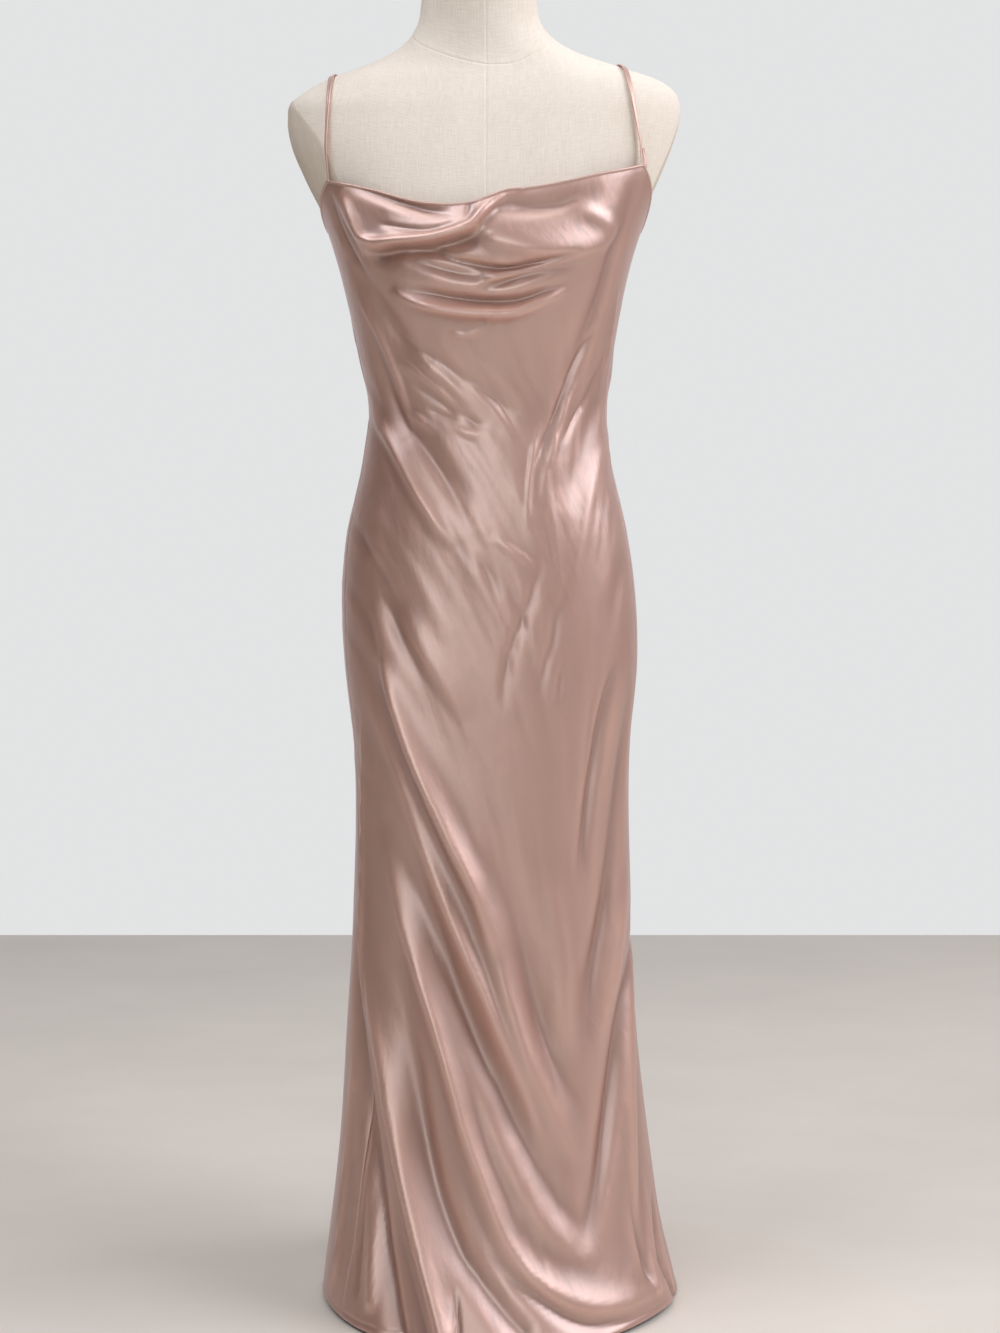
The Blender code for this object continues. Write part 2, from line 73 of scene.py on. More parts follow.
camera_data = bpy.data.cameras.new("camera")
camera_data.lens = LENS_MM
camera = in_scene("camera", camera_data)
camera.location = EYE
camera.rotation_euler = (math.radians(90 - EYE_DOWN_DEGREES), 0, 0)
bpy.context.scene.camera = camera


def fill_inputs(tree, node, inputs):
    """A node's inputs, each set to a value or joined to another node's output."""
    for name, value in inputs.items():
        if isinstance(value, bpy.types.NodeSocket):
            tree.links.new(value, node.inputs[name])
        else:
            node.inputs[name].default_value = value


def add_node(tree, kind, inputs=None, **settings):
    """A node with its settings and then its inputs."""
    node = tree.nodes.new(kind)
    for name, value in settings.items():
        setattr(node, name, value)
    fill_inputs(tree, node, inputs or {})
    return node


def new_material(name):
    """A material with its node tree and Principled shader."""
    material = bpy.data.materials.new(name)
    material.use_nodes = True
    return material, material.node_tree, material.node_tree.nodes["Principled BSDF"]


def mix_colors(tree, factor, low, high):
    """A colour between two colours, driven by a socket."""
    colors = {"Factor": factor, "A": (*low, 1), "B": (*high, 1)}
    return add_node(tree, "ShaderNodeMix", colors, data_type="RGBA").outputs["Result"]


def stretched_noise(tree, coordinates, stretch, scale, detail=3.0, roughness=0.5, lean=0):
    """Noise whose spots are stretched along some of the axes, which may lean by some degrees."""
    mapping = add_node(tree, "ShaderNodeMapping", {
        "Vector": coordinates,
        "Rotation": (0, 0, math.radians(lean)),
        "Scale": [1 / part for part in stretch],
    }, vector_type="TEXTURE")
    return add_node(tree, "ShaderNodeTexNoise", {
        "Vector": mapping.outputs["Vector"], "Scale": scale, "Detail": detail, "Roughness": roughness,
    }).outputs["Fac"]


def floor_finish():
    """Pale polished concrete, cloudy at the scale of a hand and brushed across."""
    material, tree, shader = new_material("floor_concrete")
    place = add_node(tree, "ShaderNodeTexCoord").outputs["Object"]
    clouds = stretched_noise(tree, place, (1.0, 1.6, 1.0), scale=3.0, detail=6.0, roughness=0.6)
    fill_inputs(tree, shader, {
        "Base Color": mix_colors(tree, clouds, *FLOOR_COLORS),
        "Roughness": 0.55,
        "Specular IOR Level": 0.25,
    })
    return material


floor_mesh = bpy.data.meshes.new("floor")
floor_places = ((-1, -FLOOR_HALF_WIDTH), (1, -FLOOR_HALF_WIDTH), (1, FLOOR_END), (-1, FLOOR_END))
floor_corners = [(side * FLOOR_HALF_WIDTH, back, 0) for side, back in floor_places]
floor_mesh.from_pydata(floor_corners, [], [(0, 1, 2, 3)])
floor_mesh.materials.append(floor_finish())
in_scene("floor", floor_mesh)

world = bpy.data.worlds.new("pale surround")
world.use_nodes = True
bpy.context.scene.world = world
surround = world.node_tree
direction = add_node(surround, "ShaderNodeTexCoord").outputs["Generated"]
backward = add_node(surround, "ShaderNodeSeparateXYZ", {"Vector": direction}).outputs["Y"]
wall_light = add_node(surround, "ShaderNodeMapRange", {
    "From Min": WALL_LIGHT_FROM, "From Max": WALL_LIGHT_TO, "Value": backward,
}).outputs["Result"]
seen = add_node(surround, "ShaderNodeLightPath").outputs["Is Camera Ray"]
seen_or_wall = add_node(surround, "ShaderNodeMath", {0: seen, 1: wall_light}, operation="MAXIMUM")
wall_or_room = mix_colors(surround, seen_or_wall.outputs["Value"], ROOM_COLOR, WALL_COLOR)
fill_inputs(surround, surround.nodes["Background"], {"Color": wall_or_room})

for name, place, size, power, color in SOFT_LIGHTS:
    light = bpy.data.lights.new(name, "AREA")
    light.shape = "RECTANGLE"
    light.size, light.size_y = size
    light.energy = power
    light.color = color
    lamp = in_scene(name, light)
    lamp.location = place
    lamp.rotation_euler = (Vector(LIGHT_AIM) - Vector(place)).to_track_quat("-Z", "Y").to_euler()


# Stand: a pole of brushed steel, screwed through a collar into a plate under the torso, and a
# round base of pressed steel with a black powder coat.

def steel_finish():
    material, tree, shader = new_material("pole_brushed_steel")
    place = add_node(tree, "ShaderNodeTexCoord").outputs["Object"]
    brushing = stretched_noise(tree, place, (1, 1, 60), scale=60.0)
    fill_inputs(tree, shader, {
        "Base Color": mix_colors(tree, brushing, (0.48, 0.48, 0.49), (0.62, 0.62, 0.63)),
        "Metallic": 1.0,
        "Roughness": 0.32,
    })
    return material


def raised(tree, height, distance, strength=1.0, **under):
    """The shading of a face raised by a height, over another such shading where Normal gives one."""
    relief = {"Height": height, "Distance": distance, "Strength": strength, **under}
    return add_node(tree, "ShaderNodeBump", relief).outputs["Normal"]


def powder_coat_finish():
    material, tree, shader = new_material("base_powder_coat")
    place = add_node(tree, "ShaderNodeTexCoord").outputs["Object"]
    grain = stretched_noise(tree, place, (1, 1, 1), scale=900.0)
    fill_inputs(tree, shader, {
        "Base Color": mix_colors(tree, grain, (0.025, 0.025, 0.027), (0.04, 0.04, 0.042)),
        "Normal": raised(tree, grain, distance=0.0002),
        "Roughness": 0.45,
    })
    return material


for node, finish in (("stand_pole", steel_finish()), ("stand_base", powder_coat_finish())):
    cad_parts[node].data.materials.clear()
    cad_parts[node].data.materials.append(finish)


# Dress form: a padded torso covered with unbleached linen, sewn along the centre front and back
# and round the neck's base, its seams pressed flat. A linen plate, coloured darker and browner as painted
# shade, closes each armhole.

# height, half width, depth before and behind the pole line, squareness, shift to the right
FORM_SECTIONS = (
    (0.690, 0.1310, 0.080, 0.096, 2.1, 0.000),
    (0.694, 0.1400, 0.090, 0.107, 2.1, 0.000),
    (0.706, 0.1455, 0.096, 0.113, 2.1, 0.000),
    (0.780, 0.1515, 0.101, 0.118, 2.1, 0.000),
    (0.850, 0.1485, 0.099, 0.112, 2.1, 0.000),
    (0.930, 0.1330, 0.093, 0.096, 2.1, 0.000),
    (1.010, 0.1215, 0.087, 0.083, 2.1, 0.000),
    (1.080, 0.1340, 0.097, 0.084, 2.2, 0.000),
    (1.150, 0.1500, 0.116, 0.088, 2.3, 0.000),
    (1.200, 0.1650, 0.122, 0.094, 2.4, 0.000),
    (1.228, 0.1780, 0.117, 0.098, 2.5, -0.002),
    (1.262, 0.1940, 0.106, 0.101, 2.6, -0.003),
    (1.297, 0.2077, 0.094, 0.100, 2.7, -0.003),
    (1.322, 0.2128, 0.085, 0.096, 2.7, -0.001),
    (1.340, 0.2110, 0.078, 0.090, 2.7, 0.001),
    (1.353, 0.2000, 0.072, 0.083, 2.6, 0.006),
    (1.365, 0.1800, 0.066, 0.076, 2.5, 0.008),
    (1.377, 0.1460, 0.060, 0.070, 2.3, 0.007),
    (1.390, 0.1095, 0.056, 0.064, 2.2, 0.002),
    (1.403, 0.0860, 0.054, 0.060, 2.1, -0.002),
    (1.420, 0.0700, 0.053, 0.058, 2.0, -0.005),
    (1.450, 0.0625, 0.053, 0.056, 2.0, -0.006),
    (1.480, 0.0600, 0.053, 0.054, 2.0, -0.006),
    (1.492, 0.0575, 0.051, 0.052, 2.0, -0.006),
    (1.497, 0.0500, 0.044, 0.045, 2.0, -0.006),
)
# degrees from the centre front, height
NECK_SEAM = (
    (-180, 1.4290), (-130, 1.4250), (-90, 1.4140), (-72, 1.4067), (-51, 1.3939), (-34, 1.3846),
    (-15, 1.3791), (3, 1.3768), (25, 1.3790), (43, 1.3880), (71, 1.4067), (90, 1.4140),
    (130, 1.4250), (180, 1.4290),
)
CENTRE_SEAM_X = 0.002
CENTRE_SEAM_SPREAD_DEGREES = 12
SEAM_DEPTH = 0.0003
SEAM_WIDTH = 0.0009
SEAM_PUFF = 0.00012
SEAMS_FROM, SEAMS_TO = 0.71, 1.485
NECK_SEAM_REACH = 0.012
CAP_EDGE_DEGREES = 50
# name, side, front to back place and height of the plate's middle, its two half sizes
ARM_PLATES = (
    ("left", -1, 0.000, 1.240, 0.079, 0.105),
    ("right", 1, 0.030, 1.240, 0.062, 0.105),
)
PLATE_LIFT = 0.0009
PLATE_EMBED = 0.0002
PLATE_EDGE_SHARE = 0.02


def smooth(table, at):
    """Every column of a table after its first, on a smooth curve through the rows."""
    table = np.asarray(table, dtype=float)
    knots = table[:, 0]
    slopes = np.gradient(table, knots, axis=0)
    at = np.clip(np.asarray(at, dtype=float), knots[0], knots[-1])
    row = np.clip(np.searchsorted(knots, at, side="right") - 1, 0, len(knots) - 2)
    span = knots[row + 1] - knots[row]
    t = ((at - knots[row]) / span)[..., None]
    span = span[..., None]
    return (
        (1 + 2 * t) * (1 - t) ** 2 * table[row]
        + t * (1 - t) ** 2 * span * slopes[row]
        + t**2 * (3 - 2 * t) * table[row + 1]
        + t**2 * (t - 1) * span * slopes[row + 1]
    )[..., 1:]


def columns_at(table, at):
    """The smooth columns of a table, one after another."""
    return np.moveaxis(smooth(table, at), -1, 0)


def ring(left, right, front, back, squareness, degrees):
    """A point on a rounded section, at an angle from the centre front towards +X."""
    angle = np.radians(degrees)
    across, forward = np.sin(angle), np.cos(angle)
    half_width = np.where(across < 0, left, right)
    depth = np.where(forward > 0, front, back)
    stretch = (np.abs(across) / half_width) ** squareness + (np.abs(forward) / depth) ** squareness
    radius = stretch ** (-1 / squareness)
    return radius * across, -radius * forward


def form_point(height, degrees):
    half, front, back, squareness, centre = columns_at(FORM_SECTIONS, height)
    x, y = ring(half, half, front, back, squareness, degrees)
    return np.stack(np.broadcast_arrays(x + centre, y, height), -1)


def grid_normals(points, around):
    """The direction across a grid of points, outward where its columns run from -X over -Y to +X."""
    if around:
        along = np.roll(points, -1, 1) - np.roll(points, 1, 1)
    else:
        along = np.gradient(points, axis=1)
    upward = np.gradient(points, axis=0)
    normal = np.cross(along, upward)
    return normal / np.maximum(np.linalg.norm(normal, axis=-1, keepdims=True), 1e-12)


def grid_mesh(name, points, around, material, cap_ends=False):
    """A surface through rows of points, with a UV map in metres along its rows and columns."""
    rows, columns = points.shape[:2]
    index = np.arange(rows * columns).reshape(rows, columns)
    if around:
        index = np.concatenate((index, index[:, :1]), 1)
    corners = (index[:-1, :-1], index[:-1, 1:], index[1:, 1:], index[1:, :-1])
    faces = np.stack(corners, -1).reshape(-1, 4)
    wrapped = points[:, index[0] % columns]
    across = np.linalg.norm(np.diff(wrapped, axis=1), axis=-1)
    across = np.concatenate((np.zeros((rows, 1)), np.cumsum(across, 1)), 1)
    across = across - across.mean(1, keepdims=True)
    upward = np.linalg.norm(np.diff(wrapped, axis=0), axis=-1).mean(1)
    upward = np.concatenate(([0], np.cumsum(upward)))[:, None] + np.zeros_like(across)
    chart = np.stack((across, upward), -1)
    chart = np.stack((chart[:-1, :-1], chart[:-1, 1:], chart[1:, 1:], chart[1:, :-1]), -2)
    chart = chart.reshape(-1, 2)
    face_list = faces.tolist()
    if cap_ends:
        face_list += [index[0, :columns][::-1].tolist(), index[-1, :columns].tolist()]
        chart = np.concatenate((chart, np.zeros((2 * columns, 2))))
    mesh = bpy.data.meshes.new(name)
    mesh.from_pydata(points.reshape(-1, 3).tolist(), [], face_list)
    mesh.uv_layers.new(name="cloth").uv.foreach_set("vector", chart.astype(np.float32).ravel())
    mesh.shade_smooth()
    mesh.materials.append(material)
    mesh.validate()
    return in_scene(name, mesh)


def seam_profile(distance):
    """How a pressed seam sinks, with a soft puff on each side of it."""
    groove = -SEAM_DEPTH * np.exp(-((distance / SEAM_WIDTH) ** 2))
    puff = SEAM_PUFF * np.exp(-(((np.abs(distance) - 3 * SEAM_WIDTH) / (2 * SEAM_WIDTH)) ** 2))
    return groove + puff


def linen_finish(name, low, high):
    """Unbleached linen: an open plain weave with thicker threads here and there."""
    material, tree, shader = new_material(name)
    chart = add_node(tree, "ShaderNodeUVMap", uv_map="cloth").outputs["UV"]
    upright = stretched_noise(tree, chart, (1.0, 0.05, 1.0), scale=900.0, detail=2.0)
    level = stretched_noise(tree, chart, (0.08, 1.0, 1.0), scale=900.0, detail=2.0, roughness=0.4)
    patches = stretched_noise(tree, chart, (1.0, 0.4, 1.0), scale=25.0, detail=4.0)
    threads = add_node(tree, "ShaderNodeMath", {0: upright, 1: level}).outputs["Value"]
    mixed = add_node(tree, "ShaderNodeMath", {0: patches, 1: 0.5, 2: threads}, operation="MULTIPLY_ADD")
    spread = add_node(tree, "ShaderNodeMapRange", {
        "From Min": 0.85, "From Max": 1.65, "Value": mixed.outputs["Value"],
    })
    fill_inputs(tree, shader, {
        "Base Color": mix_colors(tree, spread.outputs["Result"], low, high),
        "Normal": raised(tree, threads, distance=0.0003, strength=0.6),
        "Roughness": 0.9,
        "Specular IOR Level": 0.15,
    })
    return material


linen = linen_finish("form_linen", (0.755, 0.672, 0.570), (0.880, 0.808, 0.716))
# the arm plates' linen is darker and browner than the cover's: painted shade on the arm caps
plate_linen_painted_shade = linen_finish("plate_linen_painted_shade", (0.575, 0.49, 0.40), (0.715, 0.63, 0.53))

# rows of the cover from its foot to its top, closer at its ends and at the neck's seam
near_seam = np.array((0.0002, 0.0006, 0.0012, 0.002, 0.0032, 0.005))
seam_side_height = smooth(NECK_SEAM, 90)[0]
foot_height, top_height = FORM_SECTIONS[0][0], FORM_SECTIONS[-1][0]
below = np.concatenate((
    (0.690, 0.6905, 0.6915, 0.694, 0.698, 0.703),
    np.arange(0.710, 1.195, 0.012),
    np.arange(1.197, 1.405, 0.0035),
    seam_side_height - near_seam[::-1],
    (seam_side_height,),
))
above = np.concatenate((
    seam_side_height + near_seam,
    np.arange(seam_side_height + 0.009, 1.484, 0.005),
    (1.488, 1.4905, 1.492, 1.494, 1.4955, 1.4965, 1.497),
))
# columns of the cover in degrees, closer at the centre front and back
centre_cluster = np.array((-2.6, -1.7, -1.1, -0.6, -0.25, 0, 0.25, 0.6, 1.1, 1.7, 2.6))
side_columns = np.arange(4.5, 176.5, 2.6)
form_degrees = np.concatenate((
    -180 + centre_cluster[5:], side_columns - 180, centre_cluster, side_columns, 180 + centre_cluster[:5],
))
seam_heights = smooth(NECK_SEAM, form_degrees)[:, 0]
low_share = (below - foot_height) / (seam_side_height - foot_height)
high_share = (above - seam_side_height) / (top_height - seam_side_height)
form_heights = np.concatenate((
    foot_height + low_share[:, None] * (seam_heights - foot_height),
    seam_heights + high_share[:, None] * (top_height - seam_heights),
))
sections = smooth(FORM_SECTIONS, form_heights)
turn = np.degrees(np.arcsin((CENTRE_SEAM_X - sections[..., 4]) / sections[..., 1]))
form_angles = form_degrees + turn * np.exp(-((form_degrees / CENTRE_SEAM_SPREAD_DEGREES) ** 2))
form_surface = form_point(form_heights, form_angles)
form_normals = grid_normals(form_surface, around=True)
girth = np.linalg.norm(form_surface[..., :2], axis=-1)
from_centre = np.minimum(np.abs(form_degrees), 180 - np.abs(form_degrees))
seam_relief = seam_profile(np.radians(from_centre) * girth)
below_neck = np.linalg.norm(form_surface - form_point(seam_heights, form_angles), axis=-1)
seam_relief = np.where(below_neck < NECK_SEAM_REACH, seam_relief + seam_profile(below_neck), seam_relief)
has_seams = (form_heights > SEAMS_FROM) & (form_heights < SEAMS_TO)
seam_relief = np.where(has_seams, seam_relief, 0)
form_cover = grid_mesh(
    "form_cover", form_surface + form_normals * seam_relief[..., None], True, linen, cap_ends=True,
)
form_cover.data.set_sharp_from_angle(angle=math.radians(CAP_EDGE_DEGREES))
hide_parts("form_torso")
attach(form_cover, "root")


def form_side(across, height, side):
    """A point on the form's left or right side, found from its front to back place and height."""
    half, front, back, squareness, centre = columns_at(FORM_SECTIONS, height)
    depth = np.where(across < 0, front, back)
    reach = np.clip(1 - (np.abs(across) / depth) ** squareness, 0, 1) ** (1 / squareness)
    return np.stack((centre + side * half * reach, across, height), -1)


# rings from each plate's middle out to its rim, as shares of its half sizes, and its spokes
plate_rings = np.concatenate((np.linspace(0.002, 0.93, 27), (0.955, 0.975, 0.987, 0.995, 1.0)))
plate_spokes = np.radians(np.arange(0, 360, 3.75))
for side_name, side, middle_y, middle_z, half_y, half_z in ARM_PLATES:
    spread_y = plate_rings[::-1, None] * half_y * np.cos(plate_spokes) * side
    spread_z = plate_rings[::-1, None] * half_z * np.sin(plate_spokes)
    plate = form_side(middle_y + spread_y, middle_z + spread_z, side)
    outward = grid_normals(plate, around=True)
    rounding = np.clip((1 - plate_rings[::-1, None]) / PLATE_EDGE_SHARE, 0, 1) ** 0.5
    lift = PLATE_LIFT * rounding - PLATE_EMBED
    cap = grid_mesh("arm_plate_" + side_name, plate + outward * lift[..., None], True, plate_linen_painted_shade)
    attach(cap, "root")


# Back and front panels: one length of silk satin each, cut on the bias and joined at the sides
# with narrow seams. The front is cut wide across its top, so that it falls into a draped neckline.

# height, reach to the left, right, front and back of the pole line, squareness
DRESS_SECTIONS = (
    (0.000, 0.1865, 0.2195, 0.204, 0.168, 2.10),
    (0.030, 0.1830, 0.2125, 0.189, 0.162, 2.10),
    (0.080, 0.1765, 0.2005, 0.168, 0.153, 2.10),
    (0.175, 0.1655, 0.1860, 0.143, 0.142, 2.10),
    (0.315, 0.1560, 0.1700, 0.124, 0.134, 2.10),
    (0.455, 0.1475, 0.1635, 0.114, 0.128, 2.10),
    (0.640, 0.1465, 0.1615, 0.110, 0.126, 2.15),
    (0.730, 0.1560, 0.1690, 0.110, 0.128, 2.15),
    (0.795, 0.1585, 0.1670, 0.110, 0.128, 2.15),
    (0.870, 0.1525, 0.1570, 0.108, 0.121, 2.15),
    (0.950, 0.1345, 0.1385, 0.102, 0.106, 2.15),
    (1.015, 0.1270, 0.1325, 0.098, 0.095, 2.15),
    (1.062, 0.1357, 0.1380, 0.106, 0.094, 2.20),
    (1.120, 0.1485, 0.1485, 0.124, 0.096, 2.25),
    (1.170, 0.1610, 0.1600, 0.135, 0.099, 2.30),
    (1.210, 0.1740, 0.1730, 0.134, 0.103, 2.40),
    (1.250, 0.1915, 0.1905, 0.122, 0.106, 2.55),
    (1.285, 0.2060, 0.2060, 0.108, 0.106, 2.65),
)
# height, degrees round from the centre front to the left seam and to the right seam
SEAMS = (
    (0.00, -56.0, 84.0),
    (0.14, -57.0, 84.0),
    (0.31, -62.0, 86.0),
    (0.40, -69.0, 86.0),
    (0.62, -80.0, 85.0),
    (0.80, -78.0, 81.0),
    (0.93, -82.0, 83.0),
    (1.02, -86.0, 80.0),
    (1.21, -88.0, 88.0),
)
# degrees from the centre front, height
NECKLINE = (
    (-65.5, 1.2540), (-59.0, 1.2507), (-50.0, 1.2452), (-41.0, 1.2381), (-32.0, 1.2318),
    (-22.0, 1.2283), (-12.0, 1.2277), (-5.0, 1.2300), (3.0, 1.2360), (10.0, 1.2420),
    (19.0, 1.2442), (30.0, 1.2482), (40.0, 1.2538), (50.0, 1.2607), (59.0, 1.2665),
    (65.5, 1.2712),
)
# degrees from the centre front, lift off the floor
HEM_LIFTS = (
    (-180, 0.003), (-130, 0.006), (-95, 0.002), (-70, 0.006), (-45, 0.003), (-20, 0.002),
    (5, 0.004), (35, 0.002), (60, 0.006), (85, 0.002), (120, 0.005), (180, 0.003),
)
UNDERARM_HEIGHT = 1.206
ARMHOLE_BEND = 1.25
BACK_TOP = 1.196
BACK_DIP = 0.012
SATIN_THICK = 0.0004
SATIN_PLACE = 0.0013
SEAM_DIP = 0.0004
SEAM_DIP_WIDTH = 0.0022
# how deep and over how many rows and columns a valley is measured for the satin's painted shade
VALLEY_SHADE_DEPTH = 0.0060
VALLEY_SHADE_ROWS, VALLEY_SHADE_COLUMNS = 9, 11
FOLD_GAIN = 1.15
# where a fold is taken to have faded out, in half widths from its line
FOLD_REACH = 3.2
# the photo's camera as measured, before its side place and lens were rounded for the studio, and
# its middle; lengths on the photo are in pixels
PHOTO_EYE_X = 1 / 60
PHOTO_FOCAL = 2700.0
PHOTO_MIDDLE = (500.0, 666.5)
# front to back place from which a marked point's place on the dress is worked out, and in how many turns
MARK_FIRST_Y = -0.12
MARK_TURNS = 12
